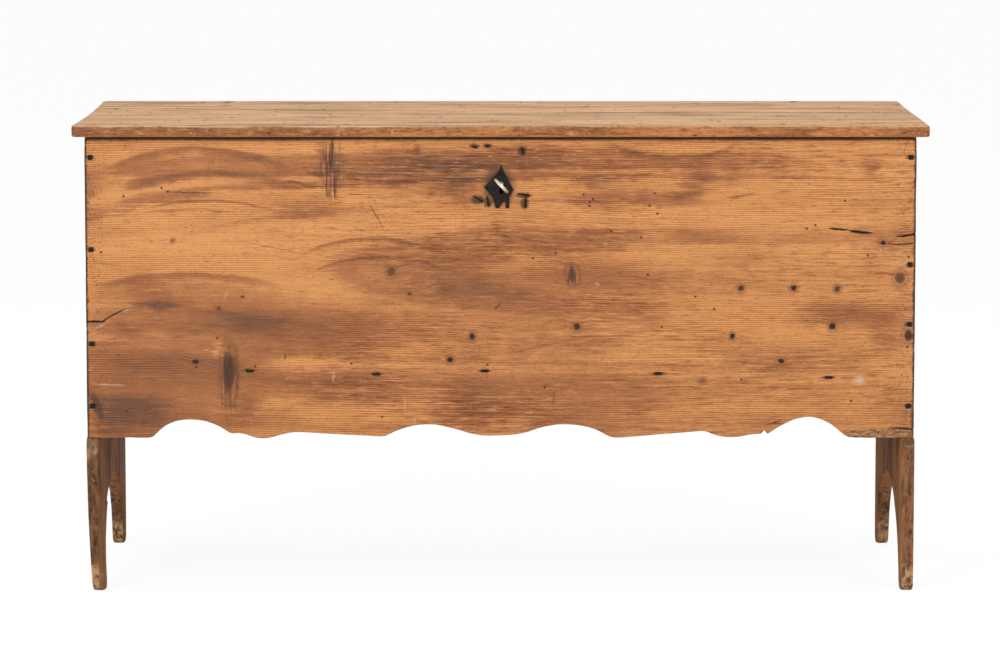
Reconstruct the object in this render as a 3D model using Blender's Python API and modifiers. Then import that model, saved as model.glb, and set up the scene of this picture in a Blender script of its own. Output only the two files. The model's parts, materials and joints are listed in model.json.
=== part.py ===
"""Six-board pine blanket chest: scalloped front, arched end boards, snipe hinges and an iron chest lock.

Metres, +Z up. The front faces -Y. The origin is on the floor, under the middle of the whole chest.
"""

import math

import bmesh
import bpy
from mathutils import Matrix, Vector

# Clearances
SEAT_GAP = 0.0003  # between pieces that touch
NAIL_FIT = 0.0003  # round a nail's shank
HINGE_FIT = 0.0006  # round a hinge wire in its slot
CUT_OVER = 0.001  # how far a cutter runs past the face that it opens

# Case boards
CASE_WIDTH = 1.250
CASE_DEPTH = 0.470
CASE_TOP = 0.692
FRONT_THICK = 0.020
BACK_THICK = 0.020
END_THICK = 0.020
END_PROUD = 0.0015  # how far an end board stands past the ends of the front board
FRONT_TOP_WEAR = 0.0025  # how far the front board's worn top edge lies below the lid's seat
APRON_LINE = 0.2355  # the front board's lower edge
BACK_LINE = 0.2355  # the back board's lower edge
BOTTOM_THICK = 0.022
BOTTOM_UNDERSIDE = 0.322
DADO_DEPTH = 0.008  # groove in each end board that holds the bottom board

# End boards' feet
FOOT_DEPTH = 0.031
FOOT_CHAMFER = 0.003
ARCH_RISE = 0.148
ARCH_STEPS = 24

# Scalloped lower edge of the front board: distance, rise above the apron line, and how the line passes there.
# The end groups are measured from the board's own ends, and the middle group from its centre.
LEFT_SCALLOPS = (
    (0.098, 0.0000, "corner"),
    (0.1226, 0.0209, "round"),
    (0.1592, 0.0278, "round"),
    (0.1938, 0.0203, "round"),
    (0.2179, 0.0059, "corner"),
    (0.2300, 0.0074, "round"),
    (0.2630, -0.0010, "round"),
    (0.3090, 0.0083, "round"),
    (0.3230, 0.0087, "corner"),
)
MIDDLE_SCALLOPS = (
    (-0.1760, 0.0015, "corner"),
    (-0.1506, 0.0132, "round"),
    (-0.1078, 0.0206, "round"),
    (-0.0701, 0.0140, "round"),
    (-0.0355, 0.0045, "round"),
    (0.0000, 0.0035, "round"),
    (0.0337, 0.0071, "round"),
    (0.0660, 0.0170, "round"),
    (0.1000, 0.0205, "round"),
    (0.1391, 0.0144, "round"),
    (0.1662, 0.0010, "corner"),
    (0.1780, 0.0000, "corner"),
)
RIGHT_SCALLOPS = (
    (0.3170, 0.0108, "corner"),
    (0.2950, 0.0029, "round"),
    (0.2700, 0.0012, "round"),
    (0.2420, 0.0057, "round"),
    (0.2210, 0.0053, "corner"),
    (0.2030, 0.0175, "round"),
    (0.1630, 0.0318, "round"),
    (0.1323, 0.0248, "round"),
    (0.1070, 0.0057, "round"),
    (0.1000, 0.0000, "corner"),
)
SCALLOP_STEPS = 4

# Lid board
LID_THICK = 0.017
LID_SIDE_OVERHANG = 0.019
LID_FRONT_OVERHANG = 0.015
LID_CORNER = 0.008
LID_CORNER_STEPS = 4
LID_EDGE_ROUND = 0.003

# Rosehead nails at the corners of the case
NAIL_SHANK = 0.004
NAIL_LENGTH = 0.055
NAIL_HEAD_RADIUS = 0.005
NAIL_HEAD_HEIGHT = 0.0025
NAIL_TOP_MARGIN = 0.031  # from the top of the case
NAIL_LOW_MARGIN = 0.049  # from the board's lower edge
LEFT_NAIL_SPACING = (0.0, 0.37, 0.75, 1.0)  # shares of the run between the margins
RIGHT_NAIL_SPACING = (0.0, 0.43, 0.67, 1.0)

# T-head nails that hold the bottom board
T_NAIL_SHANK = 0.004
T_NAIL_LENGTH = 0.050
T_NAIL_HEAD_WIDTH = 0.011
T_NAIL_HEAD_HEIGHT = 0.0018
# Each is a share of the half width from the middle, and a rise from the middle of the bottom board.
FRONT_T_NAILS = ((-0.606, 0.005), (-0.300, 0.0), (-0.038, 0.005), (0.381, 0.001), (0.793, -0.005))
BACK_T_NAILS = ((-0.750, 0.0), (-0.385, 0.002), (0.016, -0.002), (0.410, 0.0), (0.770, 0.001))

# Snipe hinges: two linked wire eyes, each with two legs driven through a board and clinched
HINGES_FROM_END = {"left": 0.189, "right": 0.159}  # from the ends of the case
HINGE_WIRE = 0.004
HINGE_EYE_RADIUS = 0.0055  # to the middle of the wire
HINGE_LEG_HALF = 0.0023  # half the distance between the legs' middles
HINGE_NECK = 0.012  # from the eye's far end to where the legs run together
HINGE_SET_BACK = 0.010  # from the case's back to the hinge axis
HINGE_ABOVE_SEAT = 0.001  # hinge axis above the top of the case
CASE_EYE_SLANT = math.radians(45)
LID_EYE_SLANT = math.radians(30)
HINGE_CLINCH = 0.010
HINGE_BEND = 0.002
EYE_FROM = 120  # degrees round the eye from its far end, on each side
EYE_STEPS = 12

# Lock: places are measured from the key's axis, and depths from the lock plate's inner face
KEY_X = 0.001
KEY_BELOW_TOP = 0.0704
KEY_HALF_TURN = math.radians(45)
PLATE_THICK = 0.0025
PLATE_HALF_WIDTH = 0.048
PLATE_ABOVE = 0.064
PLATE_BELOW = 0.040
KEYHOLE_RADIUS = 0.0048
KEYHOLE_SLOT_WIDTH = 0.0055
KEYHOLE_SLOT_DROP = 0.0155
KEYHOLE_WOOD_EASE = 0.0005
KEYHOLE_STEPS = 14
KEY_SHANK_RADIUS = 0.0036
KEY_COLLAR_RADIUS = 0.0046
KEY_COLLAR_LENGTH = 0.004
KEY_BORE_DEPTH = 0.014
KEY_SIDES = 16
BOW_DIAMETER = 0.030
BOW_WIRE = 0.0042
BOW_STANDOFF = 0.026  # from the case's front to the bow
BIT_RADIUS = 0.0135
BIT_THICK = 0.003
BIT_LENGTH = 0.014
BIT_FROM_PLATE = 0.004
KEY_PAST_BIT = 0.002
WARD_WIDTH = 0.0016
WARD_DEPTH = 0.005
DRILL_PIN_RADIUS = 0.002
DRILL_PIN_LENGTH = 0.017
BOLT_THROW = 0.018
BOLT_THICK = 0.005
BOLT_HEIGHT = 0.0115
BOLT_DEPTH = 0.013  # to the middle of its thickness
BOLT_END_WALL = 0.0032  # metal left past the end of the slot
BOLT_TO_LOOP = 0.003  # between the drawn bolt and the staple's loop
TALON_WIDTH = 0.0075
TALON_OVER_BIT = 0.0015
STUMP_RADIUS = 0.002
STUMP_X = -0.017
LEDGE_LENGTH = 0.0035
LEDGE_THICK = 0.003
SPRING_THICK = 0.001
SPRING_WIDTH = 0.004
SPRING_RISE = 0.0055  # of its fixed end above the bolt
SPRING_END_X = -0.037
SPRING_TIP_X = 0.002
LUG_LENGTH = 0.005
LUG_THICK = 0.002
COVER_WALL = 0.002
COVER_LEFT = -0.043
COVER_RIGHT = 0.036
COVER_LOW = -0.016
COVER_DEPTH = 0.025
TAB_WIDTH = 0.014
TAB_LENGTH = 0.010
RIVET_RADIUS = 0.002
RIVET_HEAD_RADIUS = 0.0038
RIVET_HEAD_HEIGHT = 0.0018
LOOP_X = 0.020
LOOP_WIRE = 0.004
LOOP_INSIDE = 0.009
LOOP_BELOW_BOLT = 0.0025
LOOP_STEPS = 8
STAPLE_WIDTH = 0.050
STAPLE_DEPTH = 0.024
STAPLE_THICK = 0.0025
STAPLE_NAIL_SPREAD = 0.017
STAPLE_NAIL_LENGTH = 0.014
SMALL_NAIL_SHANK = 0.0026
SMALL_HEAD_RADIUS = 0.0032
SMALL_HEAD_HEIGHT = 0.0016

# Escutcheon: hand-cut outline round the key's axis, from its top point clockwise
ESCUTCHEON_THICK = 0.0016
ESCUTCHEON = (
    (0.0, 0.0275),
    (0.0051, 0.0161),
    (0.0115, 0.0030),
    (0.0185, -0.0090),
    (0.0125, -0.0205),
    (0.0120, -0.0370),
    (0.0065, -0.0370),
    (0.0062, -0.0265),
    (0.0022, -0.0275),
    (-0.0029, -0.0370),
    (-0.0083, -0.0370),
    (-0.0105, -0.0275),
    (-0.0129, -0.0205),
    (-0.0257, -0.0055),
    (-0.0176, 0.0030),
    (-0.0056, 0.0161),
)
ESCUTCHEON_NAIL_Z = 0.014
ESCUTCHEON_NAIL_LENGTH = 0.012

# Clinched lock nails: place of the shank, then where the point lies on the front face
LOCK_NAIL_RADIUS = 0.0018
LOCK_NAIL_HEAD_RADIUS = 0.0032
LOCK_NAIL_HEAD_HEIGHT = 0.0016
LOCK_NAIL_FIT = 0.0005
LOCK_NAILS = (
    ((-0.0420, 0.0560), (-0.0360, 0.0540)),
    ((-0.0223, 0.0565), (-0.0170, 0.0575)),
    ((0.0315, 0.0525), (0.0335, 0.0425)),
    ((-0.0280, -0.0270), (-0.0425, -0.0185)),
    ((-0.0188, -0.0330), (-0.0215, -0.0185)),
    ((0.0415, -0.0180), (0.0245, -0.0150)),
    ((0.0360, -0.0355), (0.0372, -0.0200)),
)

# Places that follow from the sizes above
HALF_WIDTH = CASE_WIDTH / 2
END_OUTER = HALF_WIDTH + END_PROUD
END_INNER = END_OUTER - END_THICK
END_MIDDLE = END_OUTER - END_THICK / 2
EYE_PLAY = HINGE_EYE_RADIUS - HINGE_WIRE - SEAT_GAP  # from the hinge axis to the lid eye's middle
HINGE_REACH = HINGE_SET_BACK - EYE_PLAY * math.cos(LID_EYE_SLANT) + HINGE_EYE_RADIUS + HINGE_WIRE / 2
KEY_REACH = BOW_STANDOFF + BOW_DIAMETER
FRONT_Y = -(CASE_DEPTH + HINGE_REACH - KEY_REACH) / 2
FRONT_INNER_Y = FRONT_Y + FRONT_THICK
BACK_Y = FRONT_Y + CASE_DEPTH
BACK_INNER_Y = BACK_Y - BACK_THICK
MIDDLE_Y = (FRONT_Y + BACK_Y) / 2
FRONT_TOP = CASE_TOP - FRONT_TOP_WEAR
BOTTOM_MIDDLE = BOTTOM_UNDERSIDE + BOTTOM_THICK / 2
LID_UNDER = CASE_TOP + SEAT_GAP
LID_TOP = LID_UNDER + LID_THICK
HINGE_Y = BACK_Y + HINGE_SET_BACK
HINGE_Z = CASE_TOP + HINGE_ABOVE_SEAT
KEY_Z = CASE_TOP - KEY_BELOW_TOP
PLATE_Y = FRONT_INNER_Y + SEAT_GAP  # the lock plate's face on the board
LOCK_Y = PLATE_Y + PLATE_THICK  # the lock plate's inner face
BOLT_BASE = BIT_RADIUS * math.cos(KEY_HALF_TURN)  # the bit's tip comes free of the bolt at both ends
BOLT_TOP = BOLT_BASE + BOLT_HEIGHT
BOLT_NOSE = LOOP_X - LOOP_WIRE / 2 - BOLT_TO_LOOP
BOLT_SLOT_LEFT = STUMP_X - BOLT_THROW - STUMP_RADIUS - SEAT_GAP
BOLT_SLOT_RIGHT = STUMP_X + STUMP_RADIUS + SEAT_GAP
BOLT_TAIL = BOLT_SLOT_LEFT - BOLT_END_WALL
LUG_LOW = BOLT_TOP + SEAT_GAP + SPRING_RISE + SPRING_THICK + SEAT_GAP
COVER_HIGH = LUG_LOW + LUG_THICK + SEAT_GAP
KEY_END = BIT_FROM_PLATE + BIT_LENGTH + KEY_PAST_BIT
KEY_BORE_RADIUS = DRILL_PIN_RADIUS + SEAT_GAP

PALE_PINE = ((0.48, 0.26, 0.12, 1), 0.55, 0.0)
DARK_PINE = ((0.26, 0.13, 0.07, 1), 0.65, 0.0)
LID_PINE = ((0.52, 0.32, 0.19, 1), 0.6, 0.0)
DARK_IRON = ((0.035, 0.030, 0.028, 1), 0.65, 0.8)
WORN_STEEL = ((0.48, 0.45, 0.38, 1), 0.35, 1.0)

for old in list(bpy.data.objects):
    bpy.data.objects.remove(old)

PARTS = bpy.data.collections.new("blanket_chest")
CUTTERS = bpy.data.collections.new("blanket_chest_cutters")
for group in (PARTS, CUTTERS):
    bpy.context.scene.collection.children.link(group)


def pivot(name, place, parent=None):
    """An empty on a joint's axis, which the pieces of that body hang from."""
    empty = bpy.data.objects.new(name, None)
    empty.empty_display_size = 0.05
    empty.location = Vector(place) - (parent.location if parent else Vector())
    empty.parent = parent
    PARTS.objects.link(empty)
    return empty


CASE = pivot("case", (0, 0, 0))
LID = pivot("lid", (0, HINGE_Y, HINGE_Z), CASE)
KEY = pivot("key_turn", (KEY_X, LOCK_Y, KEY_Z), CASE)
BOLT = pivot("bolt_slide", (KEY_X, LOCK_Y, KEY_Z), CASE)
bpy.context.view_layer.update()


def finish(name, finishes):
    """A material with one colour, roughness and metallic value."""
    colour, rough, metal = finishes
    made = bpy.data.materials.get(name) or bpy.data.materials.new(name)
    made.use_nodes = True
    made.diffuse_color = colour
    shader = made.node_tree.nodes["Principled BSDF"]
    shader.inputs["Base Color"].default_value = colour
    shader.inputs["Roughness"].default_value = rough
    shader.inputs["Metallic"].default_value = metal
    return made


def mesh_object(name, shape):
    """An object holding the bmesh, not yet in a collection."""
    mesh = bpy.data.meshes.new(name)
    shape.to_mesh(mesh)
    shape.free()
    return bpy.data.objects.new(name, mesh)


def part(piece, body, finishes):
    """Puts a finished piece in the parts, on its body, with its material."""
    PARTS.objects.link(piece)
    piece.data.materials.clear()
    piece.data.materials.append(finish(piece.name + "_finish", finishes))
    bpy.context.view_layer.update()
    place = piece.matrix_world.copy()
    piece.parent = body
    piece.matrix_parent_inverse = body.matrix_world.inverted()
    piece.matrix_world = place
    return piece


def cutter(shape):
    """Marks an object as a helper that only cuts or joins."""
    CUTTERS.objects.link(shape)
    shape.hide_render = True
    shape.display_type = "WIRE"
    return shape


def boolean(piece, helper, operation="DIFFERENCE"):
    change = piece.modifiers.new(f"{operation.lower()} {helper.name}", "BOOLEAN")
    change.operation = operation
    change.solver = "EXACT"
    change.object = helper


def add_box(shape, low, high):
    """Adds a box between two corners to a bmesh."""
    low, high = Vector(low), Vector(high)
    place = Matrix.Translation((low + high) / 2) @ Matrix.Diagonal((*(high - low), 1))
    bmesh.ops.create_cube(shape, size=1, matrix=place)


def boxes(name, corners):
    """One object with a box for each pair of corners."""
    shape = bmesh.new()
    for low, high in corners:
        add_box(shape, low, high)
    return mesh_object(name, shape)


def box(name, low, high):
    return boxes(name, [(low, high)])


def round_bar(name, radius, start, end, sides):
    """A cylinder along Y between two points."""
    start, end = Vector(start), Vector(end)
    place = Matrix.Translation((start + end) / 2) @ Matrix.Rotation(math.radians(90), 4, "X")
    shape = bmesh.new()
    bmesh.ops.create_cone(
        shape, cap_ends=True, segments=sides, radius1=radius, radius2=radius, depth=(end - start).length, matrix=place
    )
    return mesh_object(name, shape)


def mesh_of(curve):
    """The curve as a closed mesh object of the same name and place."""
    bpy.context.scene.collection.objects.link(curve)
    bpy.context.view_layer.update()
    graph = bpy.context.evaluated_depsgraph_get()
    mesh = bpy.data.meshes.new_from_object(curve.evaluated_get(graph))
    name, place = curve.name, curve.matrix_world.copy()
    bpy.data.objects.remove(curve)
    shape = bmesh.new()
    shape.from_mesh(mesh)
    bmesh.ops.remove_doubles(shape, verts=shape.verts, dist=0.00001)
    bmesh.ops.recalc_face_normals(shape, faces=shape.faces)
    made = mesh_object(name, shape)
    made.matrix_world = place
    return made


def upright(y):
    """Turns a flat outline's XY plane into world XZ, centred on this depth."""
    return Matrix.Translation((0, y, 0)) @ Matrix.Rotation(math.radians(90), 4, "X")


def sideways(x):
    """Turns a flat outline's XY plane into world YZ, centred on this X."""
    stand = Matrix.Rotation(math.radians(90), 4, "Z") @ Matrix.Rotation(math.radians(90), 4, "X")
    return Matrix.Translation((x, 0, 0)) @ stand


def plate(name, points, thick, place):
    """A flat outline with this thickness. A point marked round is passed by a smooth curve."""
    data = bpy.data.curves.new(name, "CURVE")
    data.dimensions = "2D"
    data.fill_mode = "BOTH"
    data.extrude = thick / 2
    data.resolution_u = SCALLOP_STEPS
    line = data.splines.new("BEZIER")
    line.use_cyclic_u = True
    line.bezier_points.add(len(points) - 1)
    for knot, (x, y, *way) in zip(line.bezier_points, points):
        knot.co = (x, y, 0)
        knot.handle_left_type = knot.handle_right_type = "AUTO" if way == ["round"] else "VECTOR"
    curve = bpy.data.objects.new(name, data)
    curve.matrix_world = place
    return mesh_of(curve)


def wire(name, points, radius, rounding):
    """A wire along the points, each given as a place and a share of the full radius."""
    data = bpy.data.curves.new(name, "CURVE")
    data.dimensions = "3D"
    data.bevel_depth = radius
    data.bevel_resolution = rounding
    data.use_fill_caps = True
    line = data.splines.new("POLY")
    line.points.add(len(points) - 1)
    for knot, (place, share) in zip(line.points, points):
        knot.co = (*place, 1)
        knot.radius = share
    return mesh_of(bpy.data.objects.new(name, data))


def turned(name, profile, steps, place):
    """A turned piece: radius and height pairs from the top down, swept about Z."""
    shape = bmesh.new()
    line = [shape.verts.new((radius, 0, height)) for radius, height in profile]
    for upper, lower in zip(line, line[1:]):
        shape.edges.new((upper, lower))
    made = mesh_object(name, shape)
    screw = made.modifiers.new("turn", "SCREW")
    screw.steps = screw.render_steps = steps
    screw.use_merge_vertices = True
    screw.merge_threshold = 0.00001
    made.matrix_world = place
    return made


DRIVEN = {
    "+Y": Matrix.Rotation(math.radians(90), 4, "X"),
    "-Y": Matrix.Rotation(math.radians(-90), 4, "X"),
    "+Z": Matrix.Rotation(math.radians(180), 4, "X"),
}
SQUARE_UP = Matrix.Rotation(math.radians(45), 4, "Z")


def rosehead(name, place, drive, length, shank, head_radius, head_height, body):
    """A square hand-forged nail with a faceted head. Its head sits just off the face at place."""
    corner = shank / math.sqrt(2)
    profile = (
        (0, head_height),
        (0.6 * head_radius, 0.7 * head_height),
        (head_radius, 0.2 * head_height),
        (head_radius, 0),
        (corner, 0),
        (0.85 * corner, -0.7 * length),
        (0, -length),
    )
    stand_off = DRIVEN[drive] @ Vector((0, 0, SEAT_GAP))
    where = Matrix.Translation(Vector(place) + stand_off) @ DRIVEN[drive] @ SQUARE_UP
    return part(turned(name, profile, 4, where), body, DARK_IRON)


def hole_box(place, drive, length, side):
    """Corners of the square hole that a driven shank needs."""
    along = DRIVEN[drive] @ Vector((0, 0, -1))
    across = Vector((side, side, side)) / 2
    across -= Vector(abs(a) * b for a, b in zip(along, across))
    ends = Vector(place) - along * CUT_OVER, Vector(place) + along * (length + CUT_OVER)
    low = Vector(min(a, b) for a, b in zip(*ends)) - across
    high = Vector(max(a, b) for a, b in zip(*ends)) + across
    return low, high


def front_board():
    left = [(-HALF_WIDTH + run, APRON_LINE + rise, way) for run, rise, way in LEFT_SCALLOPS]
    middle = [(run, APRON_LINE + rise, way) for run, rise, way in MIDDLE_SCALLOPS]
    right = [(HALF_WIDTH - run, APRON_LINE + rise, way) for run, rise, way in RIGHT_SCALLOPS]
    outline = [(-HALF_WIDTH, APRON_LINE), *left, *middle, *right, (HALF_WIDTH, APRON_LINE)]
    outline += [(HALF_WIDTH, FRONT_TOP), (-HALF_WIDTH, FRONT_TOP)]
    return plate("front_board", outline, FRONT_THICK, upright(FRONT_Y + FRONT_THICK / 2))


def back_board():
    return box("back_board", (-HALF_WIDTH, BACK_INNER_Y, BACK_LINE), (HALF_WIDTH, BACK_Y, CASE_TOP))


def end_board(side, sign):
    """An end board: notched for the front and back boards, with an arch cut between its feet."""
    front_in = FRONT_INNER_Y + SEAT_GAP
    back_in = BACK_INNER_Y - SEAT_GAP
    outline = [
        (FRONT_Y, FOOT_CHAMFER),
        (FRONT_Y, APRON_LINE - SEAT_GAP),
        (front_in, APRON_LINE - SEAT_GAP),
        (front_in, CASE_TOP),
        (back_in, CASE_TOP),
        (back_in, BACK_LINE - SEAT_GAP),
        (BACK_Y, BACK_LINE - SEAT_GAP),
        (BACK_Y, FOOT_CHAMFER),
        (BACK_Y - FOOT_CHAMFER, 0),
    ]
    arch_half = CASE_DEPTH / 2 - FOOT_DEPTH
    for step in range(ARCH_STEPS + 1):
        turn = math.pi * step / ARCH_STEPS
        outline.append((MIDDLE_Y + arch_half * math.cos(turn), ARCH_RISE * math.sin(turn)))
    outline.append((FRONT_Y + FOOT_CHAMFER, 0))
    return plate(f"{side}_end_board", outline, END_THICK, sideways(sign * END_MIDDLE))


def bottom_board():
    reach = END_INNER + DADO_DEPTH - SEAT_GAP
    low = (-reach, FRONT_INNER_Y + SEAT_GAP, BOTTOM_UNDERSIDE)
    return box("bottom_board", low, (reach, BACK_INNER_Y - SEAT_GAP, BOTTOM_UNDERSIDE + BOTTOM_THICK))


def dados():
    """The groove in both end boards that takes the bottom board's ends."""
    low_z, high_z = BOTTOM_UNDERSIDE - SEAT_GAP, BOTTOM_UNDERSIDE + BOTTOM_THICK + SEAT_GAP
    reach = END_INNER + DADO_DEPTH
    return box("dado_cutter", (-reach, FRONT_Y, low_z), (reach, BACK_Y, high_z))


def lid_board():
    """The lid, with rounded corners and worn edges."""
    half = HALF_WIDTH + LID_SIDE_OVERHANG
    front = FRONT_Y - LID_FRONT_OVERHANG
    corners = ((half, BACK_Y, 0), (-half, BACK_Y, 90), (-half, front, 180), (half, front, 270))
    outline = []
    for x, y, start in corners:
        middle_x = x - math.copysign(LID_CORNER, x)
        middle_y = y - LID_CORNER if y == BACK_Y else y + LID_CORNER
        for step in range(LID_CORNER_STEPS + 1):
            turn = math.radians(start + 90 * step / LID_CORNER_STEPS)
            outline.append((middle_x + LID_CORNER * math.cos(turn), middle_y + LID_CORNER * math.sin(turn)))
    board = plate("lid_board", outline, LID_THICK, Matrix.Translation((0, 0, LID_UNDER + LID_THICK / 2)))
    edges = board.modifiers.new("worn edges", "BEVEL")
    edges.width = LID_EDGE_ROUND
    edges.segments = 2
    edges.limit_method = "ANGLE"
    edges.angle_limit = math.radians(40)
    return board


def corner_nails():
    """Roseheads through the front and back boards into the end boards. Returns their holes."""
    holes = []
    sides = (("left", -1, LEFT_NAIL_SPACING), ("right", 1, RIGHT_NAIL_SPACING))
    for face, y, drive, low_edge in (("front", FRONT_Y, "+Y", APRON_LINE), ("back", BACK_Y, "-Y", BACK_LINE)):
        top, low = CASE_TOP - NAIL_TOP_MARGIN, low_edge + NAIL_LOW_MARGIN
        for side, sign, spacing in sides:
            for number, share in enumerate(spacing, 1):
                place = (sign * END_MIDDLE, y, top + (low - top) * share)
                name = f"{face}_{side}_nail_{number}"
                rosehead(
                    name, place, drive, NAIL_LENGTH, NAIL_SHANK, NAIL_HEAD_RADIUS, NAIL_HEAD_HEIGHT, CASE
                )
                holes.append(hole_box(place, drive, NAIL_LENGTH, NAIL_SHANK + 2 * NAIL_FIT))
    return boxes("corner_nail_holes", holes)


def bottom_nails():
    """T-head nails through the front and back boards into the bottom board's edges. Returns their holes."""
    holes = []
    half, head = T_NAIL_SHANK / 2, T_NAIL_HEAD_WIDTH / 2
    outline = [(-head, 0), (-half, 0), (-0.7 * half, -0.8 * T_NAIL_LENGTH), (0, -T_NAIL_LENGTH)]
    outline += [(-x, y) for x, y in reversed(outline[:-1])]
    outline += [(head, T_NAIL_HEAD_HEIGHT), (-head, T_NAIL_HEAD_HEIGHT)]
    for face, y, drive, places in (("front", FRONT_Y, "+Y", FRONT_T_NAILS), ("back", BACK_Y, "-Y", BACK_T_NAILS)):
        for number, (share, rise) in enumerate(places, 1):
            place = Vector((share * HALF_WIDTH, y, BOTTOM_MIDDLE + rise))
            flat = Matrix.Rotation(math.radians(90), 4, "X")
            where = Matrix.Translation(place + DRIVEN[drive] @ Vector((0, 0, SEAT_GAP))) @ DRIVEN[drive] @ flat
            part(plate(f"bottom_{face}_nail_{number}", outline, T_NAIL_SHANK, where), CASE, DARK_IRON)
            holes.append(hole_box(place, drive, T_NAIL_LENGTH, T_NAIL_SHANK + 2 * NAIL_FIT))
    return boxes("bottom_nail_holes", holes)


def eye_path(far_end, shank, across, leg_ends):
    """The wire's middle: leg, eye and leg. leg_ends gives each leg's last points, from the eye outwards."""
    eye = []
    for step in range(EYE_STEPS + 1):
        turn = math.radians(-EYE_FROM + 2 * EYE_FROM * step / EYE_STEPS)
        run = HINGE_EYE_RADIUS * (1 - math.cos(turn))
        eye.append(far_end + shank * run + across * (HINGE_EYE_RADIUS * math.sin(turn)))
    necks = [far_end + shank * HINGE_NECK + across * (side * HINGE_LEG_HALF) for side in (-1, 1)]
    start, end = leg_ends
    return [*reversed(start), necks[0], *eye, necks[1], *end]


def clinched_leg(corner, shank, sideway):
    """A leg's last points: straight to the bend, round it, and out along the board."""
    bend_in = corner - shank * HINGE_BEND
    bend_out = corner + sideway * HINGE_BEND
    middle = (bend_in + bend_out) / 2 * 0.6 + corner * 0.4
    return [bend_in, middle, bend_out, corner + sideway * HINGE_CLINCH]


def tapered(path):
    """Path points with the wire's radius drawn down at both tips."""
    last = len(path) - 1
    return [(place, 0.45 if index in (0, last) else 1.0) for index, place in enumerate(path)]


def slot_box(name, start, shank, across, length, wide, high):
    """A slanted box along the shank, for a pair of hinge legs."""
    third = shank.cross(across)
    turn = Matrix((across, third, shank)).transposed().to_4x4()
    made = box(name, (-wide / 2, -high / 2, 0), (wide / 2, high / 2, length))
    made.matrix_world = Matrix.Translation(start) @ turn
    return cutter(made)


def hinge(side, x, lid, back):
    """A snipe hinge: the case's eye, and the lid's eye linked through it."""
    axis = Vector((x, HINGE_Y, HINGE_Z))
    sideways_in = Vector((1, 0, 0))
    pair = 2 * HINGE_LEG_HALF + HINGE_WIRE + 2 * HINGE_FIT
    single = HINGE_WIRE + 2 * HINGE_FIT

    down = Vector((0, -math.cos(CASE_EYE_SLANT), -math.sin(CASE_EYE_SLANT)))
    run = (HINGE_Y - BACK_INNER_Y + HINGE_WIRE / 2 + SEAT_GAP) / -down.y
    ends = []
    for sign in (-1, 1):
        corner = axis + down * run + sideways_in * (sign * HINGE_LEG_HALF)
        ends.append(clinched_leg(corner, down, sideways_in * sign))
    path = eye_path(axis, down, sideways_in, ends)
    part(wire(f"{side}_hinge_case_eye", tapered(path), HINGE_WIRE / 2, 2), CASE, DARK_IRON)
    start = axis + down * (HINGE_NECK - CUT_OVER)
    boolean(back, slot_box(f"{side}_case_slot", start, down, sideways_in, run, pair, single))

    up = Vector((0, -math.cos(LID_EYE_SLANT), math.sin(LID_EYE_SLANT)))
    over = Vector((0, up.z, -up.y))
    far_end = axis - up * (HINGE_WIRE + SEAT_GAP)
    depth = HINGE_WIRE / 2 + HINGE_FIT
    ends = []
    grooves = []
    for sign in (-1, 1):
        offset = over * (sign * HINGE_LEG_HALF)
        run = (LID_TOP - depth - (far_end + offset).z) / up.z
        corner = far_end + offset + up * run
        ends.append(clinched_leg(corner, up, sideways_in * sign))
        tip = corner.x + sign * (HINGE_CLINCH + HINGE_FIT)
        back_off = corner.x - sign * depth
        low = (min(tip, back_off), corner.y - depth, LID_TOP - 2 * depth)
        grooves.append((low, (max(tip, back_off), corner.y + depth, LID_TOP + CUT_OVER)))
    path = eye_path(far_end, up, over, ends)
    part(wire(f"{side}_hinge_lid_eye", tapered(path), HINGE_WIRE / 2, 2), LID, DARK_IRON)
    start = far_end + up * HINGE_NECK
    length = (LID_TOP - far_end.z) / up.z
    boolean(lid, slot_box(f"{side}_lid_slot", start, up, over, length, pair, single))
    for number, (low, high) in enumerate(grooves, 1):
        boolean(lid, cutter(box(f"{side}_clinch_groove_{number}", low, high)))


def lock_point(x, depth, z):
    """A place given from the key's axis and the lock plate's inner face."""
    return Vector((KEY_X + x, LOCK_Y + depth, KEY_Z + z))


def lock_box(name, low, high):
    return box(name, lock_point(*low), lock_point(*high))


def keyhole(name, ease, from_y, to_y):
    """A cutter with the keyhole's outline: a round hole with a slot below it."""
    radius = KEYHOLE_RADIUS + ease
    half = KEYHOLE_SLOT_WIDTH / 2 + ease
    drop = KEYHOLE_SLOT_DROP + ease
    meet = math.asin(half / radius)
    points = [(-half, -drop), (half, -drop)]
    for step in range(KEYHOLE_STEPS + 1):
        turn = -math.pi / 2 + meet + (2 * math.pi - 2 * meet) * step / KEYHOLE_STEPS
        points.append((radius * math.cos(turn), radius * math.sin(turn)))
    points = [(KEY_X + x, KEY_Z + z) for x, z in points]
    return cutter(plate(name, points, to_y - from_y, upright((from_y + to_y) / 2)))


def escutcheon():
    """The hand-cut iron plate round the keyhole, with its nail."""
    face = FRONT_Y - SEAT_GAP
    points = [(KEY_X + x, KEY_Z + z) for x, z in ESCUTCHEON]
    iron = part(
        plate("escutcheon", points, ESCUTCHEON_THICK, upright(face - ESCUTCHEON_THICK / 2)), CASE, DARK_IRON
    )
    boolean(iron, keyhole("escutcheon_keyhole", 0, face - ESCUTCHEON_THICK - CUT_OVER, face + CUT_OVER))
    place = Vector((KEY_X, face - ESCUTCHEON_THICK, KEY_Z + ESCUTCHEON_NAIL_Z))
    length = ESCUTCHEON_THICK + ESCUTCHEON_NAIL_LENGTH
    rosehead(
        "escutcheon_nail", place, "+Y", length, SMALL_NAIL_SHANK, SMALL_HEAD_RADIUS, SMALL_HEAD_HEIGHT, CASE
    )
    hole = hole_box(place, "+Y", length, SMALL_NAIL_SHANK + 2 * NAIL_FIT)
    hole = cutter(boxes("escutcheon_nail_hole", [hole]))
    boolean(iron, hole)
    return hole


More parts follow.
